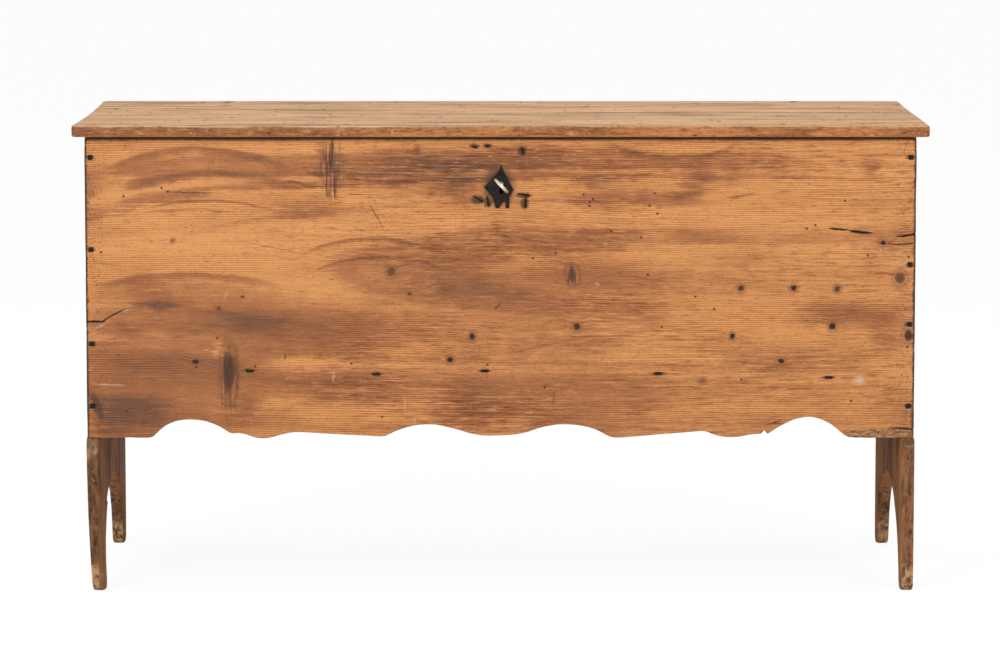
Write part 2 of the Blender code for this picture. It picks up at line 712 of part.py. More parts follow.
def lock_nails():
    """Nails driven from inside through the lock plate and the front board, and clinched on the front."""
    holes = []
    side = LOCK_NAIL_RADIUS + LOCK_NAIL_FIT
    head = LOCK_NAIL_HEAD_RADIUS / LOCK_NAIL_RADIUS
    face = FRONT_Y - LOCK_NAIL_RADIUS - SEAT_GAP
    for number, (shank, point) in enumerate(LOCK_NAILS, 1):
        x, z = KEY_X + shank[0], KEY_Z + shank[1]
        lean = Vector((point[0] - shank[0], 0, point[1] - shank[1])).normalized()
        corner = Vector((x, face, z))
        seat = LOCK_Y + SEAT_GAP
        path = [
            (Vector((x, seat + LOCK_NAIL_HEAD_HEIGHT, z)), 0.4 * head),
            (Vector((x, seat + 0.4 * LOCK_NAIL_HEAD_HEIGHT, z)), head),
            (Vector((x, seat, z)), head),
            (Vector((x, seat - SEAT_GAP, z)), 1.0),
            (corner + Vector((0, LOCK_NAIL_RADIUS, 0)), 1.0),
            (corner + lean * LOCK_NAIL_RADIUS * 0.6, 1.0),
            (Vector((KEY_X + point[0], face, KEY_Z + point[1])), 0.45),
        ]
        part(wire(f"lock_nail_{number}", path, LOCK_NAIL_RADIUS, 0), CASE, DARK_IRON)
        holes.append(((x - side, FRONT_Y - CUT_OVER, z - side), (x + side, LOCK_Y + CUT_OVER, z + side)))
    return cutter(boxes("lock_nail_holes", holes))


def lock_plate():
    """The plate on the inner face, with the bolt's stump, the ledge under its nose and the spring's lug."""
    iron = box(
        "lock_plate",
        lock_point(-PLATE_HALF_WIDTH, -PLATE_THICK, -PLATE_BELOW),
        lock_point(PLATE_HALF_WIDTH, 0, PLATE_ABOVE),
    )
    part(iron, CASE, DARK_IRON)
    root = -PLATE_THICK / 2
    reach = BOLT_DEPTH + BOLT_THICK / 2
    middle = BOLT_BASE + BOLT_HEIGHT / 2
    stump = round_bar(
        "bolt_stump", STUMP_RADIUS, lock_point(STUMP_X, root, middle), lock_point(STUMP_X, reach, middle), 12
    )
    ledge_top = BOLT_BASE - SEAT_GAP
    ledge_left = BOLT_NOSE - LEDGE_LENGTH
    ledge = lock_box("bolt_ledge", (ledge_left, root, ledge_top - LEDGE_THICK), (BOLT_NOSE, reach, ledge_top))
    lug_right, lug_high = SPRING_END_X + LUG_LENGTH, LUG_LOW + LUG_THICK
    lug = lock_box("spring_lug", (SPRING_END_X, root, LUG_LOW), (lug_right, reach, lug_high))
    for helper in (stump, ledge, lug):
        boolean(iron, cutter(helper), "UNION")
    boolean(iron, keyhole("plate_keyhole", 0, PLATE_Y - CUT_OVER, LOCK_Y + CUT_OVER))
    return iron


def bolt_spring():
    """The leaf spring: held under the lug at one end, its tip resting on the bolt."""
    low = BOLT_TOP + SEAT_GAP
    run = SPRING_TIP_X - SPRING_END_X
    under = []
    for share, rise in ((0.0, 1.0), (0.28, 1.0), (0.6, 0.38), (0.82, 0.02), (0.9, 0.0), (1.0, 0.14)):
        under.append((KEY_X + SPRING_END_X + run * share, KEY_Z + low + SPRING_RISE * rise))
    over = [(x, z + SPRING_THICK) for x, z in reversed(under)]
    leaf = plate("bolt_spring", under + over, SPRING_WIDTH, upright(LOCK_Y + BOLT_DEPTH))
    part(leaf, CASE, DARK_IRON)


def lock_bolt():
    """The sliding bolt, with a talon for the key's bit and a slot that rides on the stump."""
    front, back = BOLT_DEPTH - BOLT_THICK / 2, BOLT_DEPTH + BOLT_THICK / 2
    iron = part(
        lock_box("lock_bolt", (BOLT_TAIL, front, BOLT_BASE), (BOLT_NOSE, back, BOLT_TOP)), BOLT, DARK_IRON
    )
    front, back = front - CUT_OVER, back + CUT_OVER
    middle = -BOLT_THROW / 2
    talon_top = BIT_RADIUS + TALON_OVER_BIT
    talon = lock_box(
        "bolt_talon",
        (middle - TALON_WIDTH / 2, front, BOLT_BASE - CUT_OVER),
        (middle + TALON_WIDTH / 2, back, talon_top),
    )
    half = STUMP_RADIUS + SEAT_GAP
    centre = BOLT_BASE + BOLT_HEIGHT / 2
    slot = lock_box(
        "bolt_slot", (BOLT_SLOT_LEFT, front, centre - half), (BOLT_SLOT_RIGHT, back, centre + half)
    )
    boolean(iron, cutter(talon))
    boolean(iron, cutter(slot))


def lock_cover(plate_iron):
    """The box over the works, open to the plate, with the drill pin that carries the key's hollow end."""
    inner_low, inner_high = (COVER_LEFT, SEAT_GAP, COVER_LOW), (COVER_RIGHT, COVER_DEPTH, COVER_HIGH)
    outer_low = tuple(value - COVER_WALL for value in inner_low)
    outer_high = tuple(value + COVER_WALL for value in inner_high)
    outer_low = (outer_low[0], SEAT_GAP, outer_low[2])
    iron = part(lock_box("lock_cover", outer_low, outer_high), CASE, DARK_IRON)
    hollow = lock_box("cover_hollow", (COVER_LEFT, -CUT_OVER, COVER_LOW), inner_high)
    boolean(iron, cutter(hollow))

    pin_end = COVER_DEPTH + COVER_WALL / 2
    pin = round_bar(
        "drill_pin", DRILL_PIN_RADIUS, lock_point(0, COVER_DEPTH - DRILL_PIN_LENGTH, 0), lock_point(0, pin_end, 0), 12
    )
    boolean(iron, cutter(pin), "UNION")

    half_loop = LOOP_INSIDE / 2 + LOOP_WIRE + BOLT_TO_LOOP / 2
    slot = lock_box(
        "loop_slot",
        (LOOP_X - LOOP_WIRE / 2 - BOLT_TO_LOOP / 2, -CUT_OVER, COVER_HIGH - CUT_OVER),
        (LOOP_X + LOOP_WIRE / 2 + BOLT_TO_LOOP / 2, BOLT_DEPTH + half_loop, COVER_HIGH + COVER_WALL + CUT_OVER),
    )
    boolean(iron, cutter(slot))

    holes = []
    for name, start, away in (("top", COVER_HIGH + COVER_WALL, 1), ("bottom", COVER_LOW - COVER_WALL, -1)):
        near, far = start - away * COVER_WALL / 2, start + away * TAB_LENGTH
        low, high = min(near, far), max(near, far)
        tab = lock_box(
            f"cover_tab_{name}", (-TAB_WIDTH / 2, SEAT_GAP, low), (TAB_WIDTH / 2, SEAT_GAP + COVER_WALL, high)
        )
        boolean(iron, cutter(tab), "UNION")
        rivet_z = start + away * TAB_LENGTH / 2
        holes.append(rivet(name, rivet_z))
    for hole in holes:
        boolean(iron, hole)
        boolean(plate_iron, hole)


def rivet(name, z):
    """A rivet through a tab of the cover and the lock plate. Returns its hole."""
    grip = SEAT_GAP + COVER_WALL
    end = grip + PLATE_THICK
    profile = (
        (0, RIVET_HEAD_HEIGHT),
        (0.7 * RIVET_HEAD_RADIUS, 0.7 * RIVET_HEAD_HEIGHT),
        (RIVET_HEAD_RADIUS, 0),
        (RIVET_RADIUS, 0),
        (RIVET_RADIUS, -end),
        (0, -end),
    )
    place = lock_point(0, grip + SEAT_GAP, z)
    where = Matrix.Translation(place) @ DRIVEN["-Y"]
    part(turned(f"cover_rivet_{name}", profile, 12, where), CASE, DARK_IRON)
    radius = RIVET_RADIUS + NAIL_FIT
    start, finish_at = lock_point(0, -PLATE_THICK - CUT_OVER, z), lock_point(0, grip + CUT_OVER, z)
    return cutter(round_bar(f"rivet_hole_{name}", radius, start, finish_at, 12))


def key():
    """The key at rest: its bit and bow in one plane, turned up and to the left."""
    bow_middle = FRONT_Y - BOW_STANDOFF - BOW_DIAMETER / 2 - LOCK_Y
    bow_radius = (BOW_DIAMETER - BOW_WIRE) / 2
    shank_start = bow_middle + bow_radius
    collar_end = FRONT_Y - ESCUTCHEON_THICK - 2 * SEAT_GAP - LOCK_Y
    collar_end -= SMALL_HEAD_HEIGHT
    collar_start = collar_end - KEY_COLLAR_LENGTH
    profile = (
        (0, -shank_start),
        (0.8 * KEY_SHANK_RADIUS, -shank_start),
        (KEY_SHANK_RADIUS, -collar_start + KEY_COLLAR_LENGTH / 2),
        (KEY_COLLAR_RADIUS, -collar_start),
        (KEY_COLLAR_RADIUS, -collar_end),
        (KEY_SHANK_RADIUS, -collar_end),
        (KEY_SHANK_RADIUS, -KEY_END),
        (0, -KEY_END),
    )
    steel = turned("key", profile, KEY_SIDES, DRIVEN["+Y"])
    bpy.ops.mesh.primitive_torus_add(
        major_segments=24,
        minor_segments=8,
        major_radius=bow_radius,
        minor_radius=BOW_WIRE / 2,
        location=(0, bow_middle, 0),
        rotation=(0, math.radians(90), 0),
    )
    bow = bpy.context.object
    bow.name = "key_bow"
    for holder in list(bow.users_collection):
        holder.objects.unlink(bow)
    bit = box(
        "key_bit",
        (-BIT_THICK / 2, BIT_FROM_PLATE, 0),
        (BIT_THICK / 2, BIT_FROM_PLATE + BIT_LENGTH, BIT_RADIUS),
    )
    ward_front = BIT_FROM_PLATE + 0.2 * BIT_LENGTH
    ward = box(
        "key_ward",
        (-BIT_THICK, ward_front, BIT_RADIUS - WARD_DEPTH),
        (BIT_THICK, ward_front + WARD_WIDTH, BIT_RADIUS + CUT_OVER),
    )
    bore = round_bar(
        "key_bore", KEY_BORE_RADIUS, (0, KEY_END - KEY_BORE_DEPTH, 0), (0, KEY_END + CUT_OVER, 0), 12
    )
    turn = Matrix.Translation(lock_point(0, 0, 0)) @ Matrix.Rotation(-KEY_HALF_TURN, 4, "Y")
    steel.matrix_world = turn @ steel.matrix_world
    for helper, operation in ((bow, "UNION"), (bit, "UNION"), (ward, "DIFFERENCE"), (bore, "DIFFERENCE")):
        bpy.context.view_layer.update()
        helper.matrix_world = turn @ helper.matrix_basis
        boolean(steel, cutter(helper), operation)
    part(steel, KEY, WORN_STEEL)


def lock_staple(lid):
    """The plate nailed under the lid, with the loop that the bolt passes through."""
    middle = lock_point(LOOP_X, BOLT_DEPTH, 0)
    top = LID_UNDER - SEAT_GAP
    low = (middle.x - STAPLE_WIDTH / 2, middle.y - STAPLE_DEPTH / 2, top - STAPLE_THICK)
    high = (middle.x + STAPLE_WIDTH / 2, middle.y + STAPLE_DEPTH / 2, top)
    iron = part(box("lock_staple", low, high), LID, DARK_IRON)
    half = (LOOP_INSIDE + LOOP_WIRE) / 2
    centre_z = KEY_Z + BOLT_BASE - LOOP_BELOW_BOLT - LOOP_WIRE / 2 + half
    path = [(middle.x, middle.y + half, top - STAPLE_THICK / 2)]
    for step in range(LOOP_STEPS + 1):
        turn = math.pi * step / LOOP_STEPS
        path.append((middle.x, middle.y + half * math.cos(turn), centre_z - half * math.sin(turn)))
    path.append((middle.x, middle.y - half, top - STAPLE_THICK / 2))
    loop = wire("staple_loop", [(place, 1.0) for place in path], LOOP_WIRE / 2, 2)
    boolean(iron, cutter(loop), "UNION")
    holes = []
    for side, sign in (("left", -1), ("right", 1)):
        place = (middle.x + sign * STAPLE_NAIL_SPREAD, middle.y, top - STAPLE_THICK)
        rosehead(
            f"staple_nail_{side}", place, "+Z", STAPLE_NAIL_LENGTH, SMALL_NAIL_SHANK, SMALL_HEAD_RADIUS,
            SMALL_HEAD_HEIGHT, LID,
        )
        holes.append(hole_box(place, "+Z", STAPLE_NAIL_LENGTH, SMALL_NAIL_SHANK + 2 * NAIL_FIT))
    nail_holes = cutter(boxes("staple_nail_holes", holes))
    boolean(iron, nail_holes)
    boolean(lid, nail_holes)


def build():
    front = part(front_board(), CASE, PALE_PINE)
    back = part(back_board(), CASE, PALE_PINE)
    ends = [part(end_board(side, sign), CASE, DARK_PINE) for side, sign in (("left", -1), ("right", 1))]
    bottom = part(bottom_board(), CASE, PALE_PINE)
    lid = part(lid_board(), LID, LID_PINE)

    groove = cutter(dados())
    corner_holes = cutter(corner_nails())
    bottom_holes = cutter(bottom_nails())
    for board in ends:
        boolean(board, groove)
        boolean(board, corner_holes)
    for board in (front, back):
        boolean(board, corner_holes)
        boolean(board, bottom_holes)
    boolean(bottom, bottom_holes)

    for side, inset in HINGES_FROM_END.items():
        hinge(side, inset - HALF_WIDTH if side == "left" else HALF_WIDTH - inset, lid, back)

    boolean(front, keyhole("board_keyhole", KEYHOLE_WOOD_EASE, FRONT_Y - CUT_OVER, FRONT_INNER_Y + CUT_OVER))
    boolean(front, escutcheon())
    nail_holes = lock_nails()
    boolean(front, nail_holes)
    plate_iron = lock_plate()
    boolean(plate_iron, nail_holes)
    lock_cover(plate_iron)
    bolt_spring()
    lock_bolt()
    key()
    lock_staple(lid)


build()
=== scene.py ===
"""Looks of the pine blanket chest: worn boards, aged pine, black iron, and a plain white studio."""

import json
import math

import bmesh
import bpy
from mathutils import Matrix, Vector, geometry, noise

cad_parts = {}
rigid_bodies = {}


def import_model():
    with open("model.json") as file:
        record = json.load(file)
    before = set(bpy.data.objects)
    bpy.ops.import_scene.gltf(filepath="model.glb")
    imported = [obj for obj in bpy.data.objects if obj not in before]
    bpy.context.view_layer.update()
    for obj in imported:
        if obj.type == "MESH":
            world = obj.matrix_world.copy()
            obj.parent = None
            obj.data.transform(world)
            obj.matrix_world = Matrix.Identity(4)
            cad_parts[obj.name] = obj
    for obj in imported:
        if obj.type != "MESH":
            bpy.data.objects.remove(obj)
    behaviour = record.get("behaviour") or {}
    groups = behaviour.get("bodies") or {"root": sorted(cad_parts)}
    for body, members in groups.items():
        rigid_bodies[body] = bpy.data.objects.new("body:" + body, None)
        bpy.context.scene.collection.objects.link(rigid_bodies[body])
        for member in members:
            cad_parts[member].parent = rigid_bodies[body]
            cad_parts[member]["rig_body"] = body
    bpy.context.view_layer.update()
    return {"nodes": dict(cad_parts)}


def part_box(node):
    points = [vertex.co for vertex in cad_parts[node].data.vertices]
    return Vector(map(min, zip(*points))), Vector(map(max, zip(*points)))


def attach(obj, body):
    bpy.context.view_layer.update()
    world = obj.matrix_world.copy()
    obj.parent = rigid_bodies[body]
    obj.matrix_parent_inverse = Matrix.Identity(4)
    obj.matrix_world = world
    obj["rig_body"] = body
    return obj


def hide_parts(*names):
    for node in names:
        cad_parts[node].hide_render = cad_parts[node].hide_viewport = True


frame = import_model()
NODES = frame["nodes"]
MM = 0.001

# Faces of the case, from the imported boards
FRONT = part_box("front_board")[0].y
FRONT_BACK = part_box("front_board")[1].y
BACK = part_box("back_board")[1].y
CASE_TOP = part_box("back_board")[1].z
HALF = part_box("front_board")[1].x
LID_LOW, LID_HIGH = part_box("lid_board")
# Height of the straight parts of the front's lower edge, below which the legs stand free
APRON = 0.2355
# CAD points this near to each other are one point, and this near to a flat face lie in it
JOIN_GAP, FLAT_GAP = 0.002 * MM, 0.02 * MM

# The front's marks are in millimetres from the chest's middle and the floor.
# Knots: place, half sizes, darkness
KNOTS = (
    (-165, 488, 7, 7, 0.65),
    (108, 483, 8, 12, 0.5),
    (115, 405, 6, 6, 0.95),
    (-411, 336, 10, 32, 0.8),
    (602, 479, 8, 9, 0.7),
    (362, 463, 5, 5, 0.85),
    (442, 464, 5, 5, 1.0),
    (507, 462, 5, 5, 0.8),
    (500, 405, 6, 6, 1.0),
    (349, 390, 4, 5, 1.0),
    (-43, 390, 5, 6, 0.95),
    (-76, 355, 5, 5, 1.0),
    (423, 352, 6, 4, 1.0),
    (-461, 351, 7, 4, 0.95),
    (305, 322, 5, 4, 0.35),
    (-137, 455, 3, 3, 0.8),
    (-425, 432, 4, 3, 0.6),
    (576, 532, 5, 4, 1.0),
    (-389, 450, 3, 2, 0.9),
    (-494, 535, 3, 3, 0.5),
    (615, 391, 7, 10, 0.9),
    (-125, 671, 4, 6, 0.35),
)
# Small dark specks: place
SPECK_HALF = 1.6
SPECKS = (
    (-567, 602), (-510, 614), (-501, 608), (-601, 518), (-460, 343), (-371, 344), (-564, 277),
    (-179, 268), (-226, 348), (134, 593), (139, 598), (134, 588), (125, 605), (167, 550), (212, 541),
    (83, 517), (49, 509), (231, 606), (224, 588), (236, 576), (222, 484), (460, 553), (473, 558),
    (518, 596), (553, 513), (614, 510), (530, 292), (363, 324), (322, 432), (294, 451), (243, 405),
    (613, 373), (-19, 348), (67, 313), (-428, 387),
)
# Clouds of grime (positive) and rubbed bright wood (negative): place, half sizes, strength, tilt in degrees
CLOUDS = (
    (-290, 578, 60, 22, 0.35, 0),
    (-526, 437, 40, 7, 0.7, 0),
    (-480, 455, 160, 22, 0.35, 0),
    (-470, 415, 170, 30, 0.5, 0),
    (-500, 330, 170, 60, 0.65, 0),
    (-560, 270, 70, 34, 0.6, 0),
    (-300, 400, 170, 45, 0.5, 0),
    (-250, 310, 150, 30, 0.4, 0),
    (-254, 645, 18, 46, 0.5, 0),
    (-378, 282, 18, 22, 0.35, 0),
    (-60, 617, 40, 36, 0.5, 0),
    (-130, 640, 110, 40, 0.5, 0),
    (30, 656, 90, 26, 0.4, 0),
    (-45, 440, 160, 60, 0.25, 0),
    (20, 380, 160, 40, 0.2, 0),
    (-40, 290, 60, 40, 0.35, 0),
    (80, 295, 200, 40, 0.35, 0),
    (136, 627, 36, 12, 0.5, 0),
    (175, 600, 110, 16, 0.3, 0),
    (290, 628, 28, 32, 0.45, 0),
    (275, 604, 30, 6, 0.4, 0),
    (366, 602, 16, 5, 0.5, 12),
    (448, 630, 50, 10, 0.35, -3),
    (557, 646, 28, 14, 0.5, -8),
    (546, 613, 40, 8, 0.3, 0),
    (3, 540, 8, 34, 0.3, 0),
    (580, 395, 34, 45, 0.3, 0),
    (435, 312, 30, 7, 0.35, 0),
    (-460, 520, 150, 26, -0.5, 0),
    (-590, 610, 30, 50, -0.3, 0),
    (-434, 365, 12, 14, -0.5, 0),
    (278, 676, 75, 12, -0.55, 0),
    (510, 672, 100, 14, -0.5, 0),
    (520, 632, 110, 34, -0.45, 0),
    (600, 640, 22, 50, -0.45, 0),
    (450, 575, 160, 40, -0.3, 0),
    (420, 500, 150, 30, -0.1, 0),
    (505, 420, 80, 26, 0.4, 0),
    (450, 350, 120, 26, 0.35, 0),
    (226, 513, 105, 33, -0.25, 0),
    (360, 425, 110, 28, -0.3, 0),
    (-300, 345, 90, 14, -0.25, 0),
    (-230, 270, 80, 18, -0.3, 0),
)
# Arched stains that follow the grain: middle, top of the arch, half width, rise, thickness, strength
ARCHES = (
    (-455, 678, 135, 30, 14, 0.55),
    (-430, 640, 130, 18, 18, 0.5),
    (-440, 598, 100, 16, 5, 0.45),
    (-470, 584, 75, 8, 5, 0.35),
    (-470, 488, 135, 16, 14, 0.5),
    (-190, 542, 120, 30, 8, 0.45),
    (-180, 512, 110, 22, 7, 0.4),
    (262, 661, 95, -24, 12, 0.5),
    (470, 618, 75, 20, 6, 0.25),
)
# Pale scuffs and dark scratches: place, half sizes, strength, tilt in degrees
SCUFFS = (
    (542, 323, 11, 8, 0.8, 0),
    (-590, 317, 28, 2, 0.6, -2),
    (-253, 328, 2, 9, 0.7, 0),
    (145, 469, 3, 4, 0.7, 60),
    (-145, 288, 2, 14, 0.4, 0),
    (-130, 263, 2, 8, 0.45, 0),
    (-604, 406, 9, 3, 0.6, 24),
    (-563, 431, 7, 2, 0.5, 8),
    (-414, 453, 3, 7, 0.5, -12),
    (-230, 378, 14, 1, 0.4, 0),
    (572, 520, 2, 3, 0.6, 0),
)
SCRATCHES = (
    (-254, 664, 3, 26, 0.7, 0),
    (-249, 614, 3, 16, 0.6, 3),
    (-224, 628, 14, 2, 0.6, -4),
    (-312, 624, 12, 2, 0.55, -6),
    (-290, 617, 12, 3, 0.4, -8),
    (-466, 607, 36, 1.2, 0.75, -1),
    (-187, 574, 26, 1.2, 0.6, -62),
    (-345, 525, 48, 1, 0.35, -11),
    (-590, 500, 28, 1.2, 0.4, -6),
    (-586, 386, 12, 1.2, 0.6, 2),
    (107, 484, 2, 15, 0.7, 2),
    (-414, 338, 3, 26, 0.8, 2),
    (-399, 330, 1.5, 40, 0.5, -1),
    (-325, 359, 1.5, 6, 0.7, -12),
    (-4, 436, 8, 2, 0.6, 45),
    (182, 391, 20, 1.2, 0.5, 0),
    (54, 373, 46, 1, 0.35, 13),
    (81, 299, 2, 10, 0.4, 0),
    (612, 549, 12, 1.2, 0.5, 5),
    (511, 552, 17, 2, 0.8, -5),
    (541, 548, 19, 3, 0.9, -6),
    (610, 543, 15, 2, 0.9, 6),
    (603, 530, 20, 1.2, 0.8, 0),
    (-610, 413, 15, 2, 0.8, 0),
    (-580, 425, 17, 1.5, 0.7, 28),
    (622, 450, 2, 24, 0.5, 0),
    (621, 264, 2, 18, 0.5, 0),
    (606, 251, 20, 2, 0.9, -2),
    (414, 257, 16, 1.2, 0.6, 6),
    (-609, 284, 7, 24, 0.75, 20),
)
# Wood torn across the grain: place, half sizes, strength
TORN = (
    (-254, 648, 18, 44, 1.0),
    (-255, 615, 14, 20, 0.8),
    (108, 483, 12, 17, 0.9),
    (-411, 320, 17, 60, 0.7),
)
# Open cracks: depth, then points along the crack, each with its width
CRACKS = (
    (7, (-626, 412, 3), (-612, 413, 3), (-601, 412, 2.5), (-585, 423, 1.5), (-568, 431, 1), (-557, 433, 0.5)),
    (8, (494, 554, 1), (502, 553, 3), (512, 552, 2), (521, 551, 1)),
    (8, (524, 551, 1), (532, 549, 3.5), (543, 548, 3), (552, 547, 2), (561, 547, 0.5)),
    (9, (594, 541, 0.5), (607, 542, 2.5), (616, 544, 3), (627, 546, 3.5)),
    (5, (581, 530, 0.5), (600, 530, 1.5), (621, 531, 1)),
    (7, (589, 251, 0.5), (606, 250, 2), (627, 248, 5)),
    (6, (406, 257, 0.5), (415, 259, 2), (425, 262, 0.5)),
)
# Marks on the lid's top, from the chest's middle: place, half sizes, strength
LID_MARKS = (
    (-437, 175, 12, 6, 0.8),
    (-11, -118, 12, 2, 0.7),
    (22, -72, 12, 2, 0.6),
    (413, 165, 20, 3, 0.7),
    (462, 165, 8, 3, 0.6),
    (-520, 120, 30, 3, 0.35),
    (-330, 60, 60, 3, 0.3),
    (120, 150, 90, 4, 0.3),
    (300, -150, 70, 3, 0.35),
    (-180, -190, 50, 3, 0.3),
    (560, 30, 40, 5, 0.3),
)
# Knots of the hidden boards: along, height on a standing board, half size, and the lying board's middle
PLAIN_KNOTS = ((-410, 360, 11), (130, 520, 9), (360, 410, 13), (-120, 580, 7))
LYING_MIDDLE = 420
# Heart of the flame bands on the front
FLAME_X, FLAME_Z = 350 * MM, 490 * MM
# How far the black of the iron spreads, sideways and up: round most pieces, and past the T-heads
STAIN_ROUND = (4.0, 0.8)
STAIN_DASH = (7.0, -0.2)
# Rough split strip at the front's lower right corner: place and half sizes
SPLIT_STRIP = (574, 241, 58, 11)
# Bare patch at the top of the left front leg: height and half sizes
BARE_PATCH = (222, 60, 19)

# Chipped lower edge of the front: a notch, and gnawed wood from here to the right
NOTCH_X, NOTCH_HALF, NOTCH_DEEP = 399 * MM, 4.2 * MM, 6.5 * MM
GNAWED_FROM, GNAWED_DEEP = 520 * MM, 1.6 * MM
# The scalloped edge lies below the first height, and the front's upper corners above the second
LOWER_EDGE, UPPER_CORNERS = 290 * MM, 600 * MM
# Least round on a worn edge
LEAST_ROUND = 0.4 * MM
# Legs: inward bow of the left front foot, then the heights below which feet are worn, and feet and legs rough
LEG_BOW, LEG_BOW_POWER = 7.5 * MM, 2.1
FOOT_WORN, FOOT_ROUGH, LEG_ROUGH = 30 * MM, 50 * MM, 220 * MM
# The lid: corner and edge rounds, cup at the back, dent in the front edge, and ends drawn in at the back
LID_CORNER, LID_EDGE, LID_CUP = 13 * MM, 3.2 * MM, 5.0 * MM
LID_DENT_X, LID_DENT_HALF, LID_DENT_DEEP = 452 * MM, 9 * MM, 1.8 * MM
LID_END_RUN, LID_DRAWN = 60 * MM, 7.0 * MM
LID_CUP_FROM = 0.35
LID_STEPS = 150
# Rounds rubbed on the key, the lock's iron and the front's nails
KEY_RUB, IRON_RUB, NAIL_RUB = 0.35 * MM, 0.4 * MM, 2.4 * MM

# The photo's camera, fitted to the chest's corners: metres, degrees, and millimetres for the lens
CAMERA_AWAY = 6.7865
CAMERA_HEIGHT = 1.1994
CAMERA_PITCH = 6.7631
CAMERA_LENS = 163.108
CAMERA_X = -0.0008
WORLD_LIGHT = 0.42
FLOOR_GLOW = 0.89
# Lamps: name, place, width, power. All are aimed at one point
LAMP_AIM = Vector((0, 0, 0.4))
LAMPS = (
    ("key_light", (-2.2, -4.2, 3.0), 2.6, 95),
    ("fill_light", (2.6, -4.0, 2.2), 2.6, 52),
    ("top_light", (0.0, 0.6, 3.6), 3.0, 20),
)


class Tone:
    """One value in a material. Arithmetic on it adds Math nodes."""

    def __init__(self, paint, socket):
        self.paint = paint
        self.socket = socket

    def math(self, operation, *inputs):
        return self.paint.make("Math", inputs, {"operation": operation})

    def __add__(self, other):
        return self.math("ADD", self, other)

    def __sub__(self, other):
        return self.math("SUBTRACT", self, other)

    def __mul__(self, other):
        return self.math("MULTIPLY", self, other)

    def __truediv__(self, other):
        return self.math("DIVIDE", self, other)

    def __abs__(self):
        return self.math("ABSOLUTE", self)

    def fract(self):
        return self.math("FRACT", self)

    def root(self):
        return self.math("SQRT", self)

    def most(self, other):
        return self.math("MAXIMUM", self, other)

    def least(self, other):
        return self.math("MINIMUM", self, other)

    def scaled(self, share, more):
        return self.math("MULTIPLY_ADD", self, share, more)

    def ramp(self, low, high, start=0.0, end=1.0):
        """A smooth step from start at low to end at high."""
        limits = {"Value": self, "From Min": low, "From Max": high, "To Min": start, "To Max": end}
        return self.paint.make("MapRange", limits, {"interpolation_type": "SMOOTHSTEP", "clamp": False})


class Paint:
    """The nodes of a material or of the world, written as expressions."""

    def __init__(self, owner):
        owner.use_nodes = True
        self.owner = owner
        self.nodes = owner.node_tree.nodes
        self.links = owner.node_tree.links

    def feed(self, socket, value):
        if isinstance(value, Tone):
            self.links.new(value.socket, socket)
        else:
            socket.default_value = value

    def make(self, kind, inputs, settings=None, out=0):
        """Adds a node with these settings and input values, and returns one of its outputs."""
        node = self.nodes.new("ShaderNode" + kind)
        for key, value in (settings or {}).items():
            setattr(node, key, value)
        for key, value in inputs.items() if isinstance(inputs, dict) else enumerate(inputs):
            self.feed(node.inputs[key], value)
        return Tone(self, node.outputs[out])

    def place(self):
        """X, Y and Z in the chest's own frame."""
        where = self.make("TexCoord", {}, out=3)
        return [self.make("SeparateXYZ", [where], out=axis) for axis in range(3)]

    def facing(self):
        """X, Y and Z of the surface's direction in the chest's own frame."""
        way = self.make("TexCoord", {}, out=1)
        return [self.make("SeparateXYZ", [way], out=axis) for axis in range(3)]

    def vector(self, x, y, z):
        return self.make("CombineXYZ", [x, y, z])

    def noise(self, where, detail=2.0, rough=0.5):
        return self.make("TexNoise", {"Vector": where, "Scale": 1.0, "Detail": detail, "Roughness": rough})

    def bands(self, value, detail=2.0, rough=0.5):
        """Noise along one value."""
        inputs = {"W": value, "Scale": 1.0, "Detail": detail, "Roughness": rough}
        return self.make("TexNoise", inputs, {"noise_dimensions": "1D"})

    def spot(self, across, up, x, z, half_x, half_z, tilt=0.0):
        """Distance from a mark's middle, where 1 is its edge. Sizes are in millimetres."""
        cos, sin = math.cos(math.radians(tilt)), math.sin(math.radians(tilt))
        right, top = -(cos * x + sin * z) / half_x, (sin * x - cos * z) / half_z
        if tilt:
            right = up.scaled(sin / half_x / MM, right)
            top = across.scaled(-sin / half_z / MM, top)
        right = across.scaled(cos / half_x / MM, right)
        top = up.scaled(cos / half_z / MM, top)
        return right.scaled(right, top * top).root()

    def arch(self, across, up, middle, top, half, rise, thick):
        """A stain under an arched line, fading at both ends and downwards. Sizes are in millimetres."""
        along = across.scaled(1 / half / MM, -middle / half)
        under = (along * along).scaled(-rise / thick, up.scaled(-1 / thick / MM, top / thick))
        return under.ramp(-0.2, 0.25) * under.ramp(1.15, 0.3) * abs(along).ramp(1.2, 0.6)

    def marked(self, across, up, marks, outer, inner):
        """The strongest mark at each place. Marks fade in from the outer to the inner distance."""
        mask = 0.0
        for x, z, half_x, half_z, strength, *tilt in marks:
            away = self.spot(across, up, x, z, half_x, half_z, *tilt)
            mask = (away.ramp(outer, inner) * strength).most(mask)
        return mask

    def mix(self, factor, first, second, way="MIX"):
        # The colours of a Mix node are its sockets 6 and 7
        inputs = {0: factor, 6: first, 7: second}
        return self.make("Mix", inputs, {"data_type": "RGBA", "blend_type": way}, out=2)

    def finish(self, colour, rough, height, depth, metal=0.0, sheen=0.25):
        """Connects the colour, roughness and relief to the shader."""
        shader = self.nodes["Principled BSDF"].inputs
        self.feed(shader["Base Color"], colour)
        self.feed(shader["Roughness"], rough)
        self.feed(shader["Metallic"], metal)
        self.feed(shader["Specular IOR Level"], sheen)
        self.feed(shader["Normal"], self.make("Bump", {"Strength": 0.6, "Distance": depth, "Height": height}))
        return self.owner


def rgb(red, green, blue):
    return (red, green, blue, 1.0)


def new_paint(name):
    return Paint(bpy.data.materials.new(name))


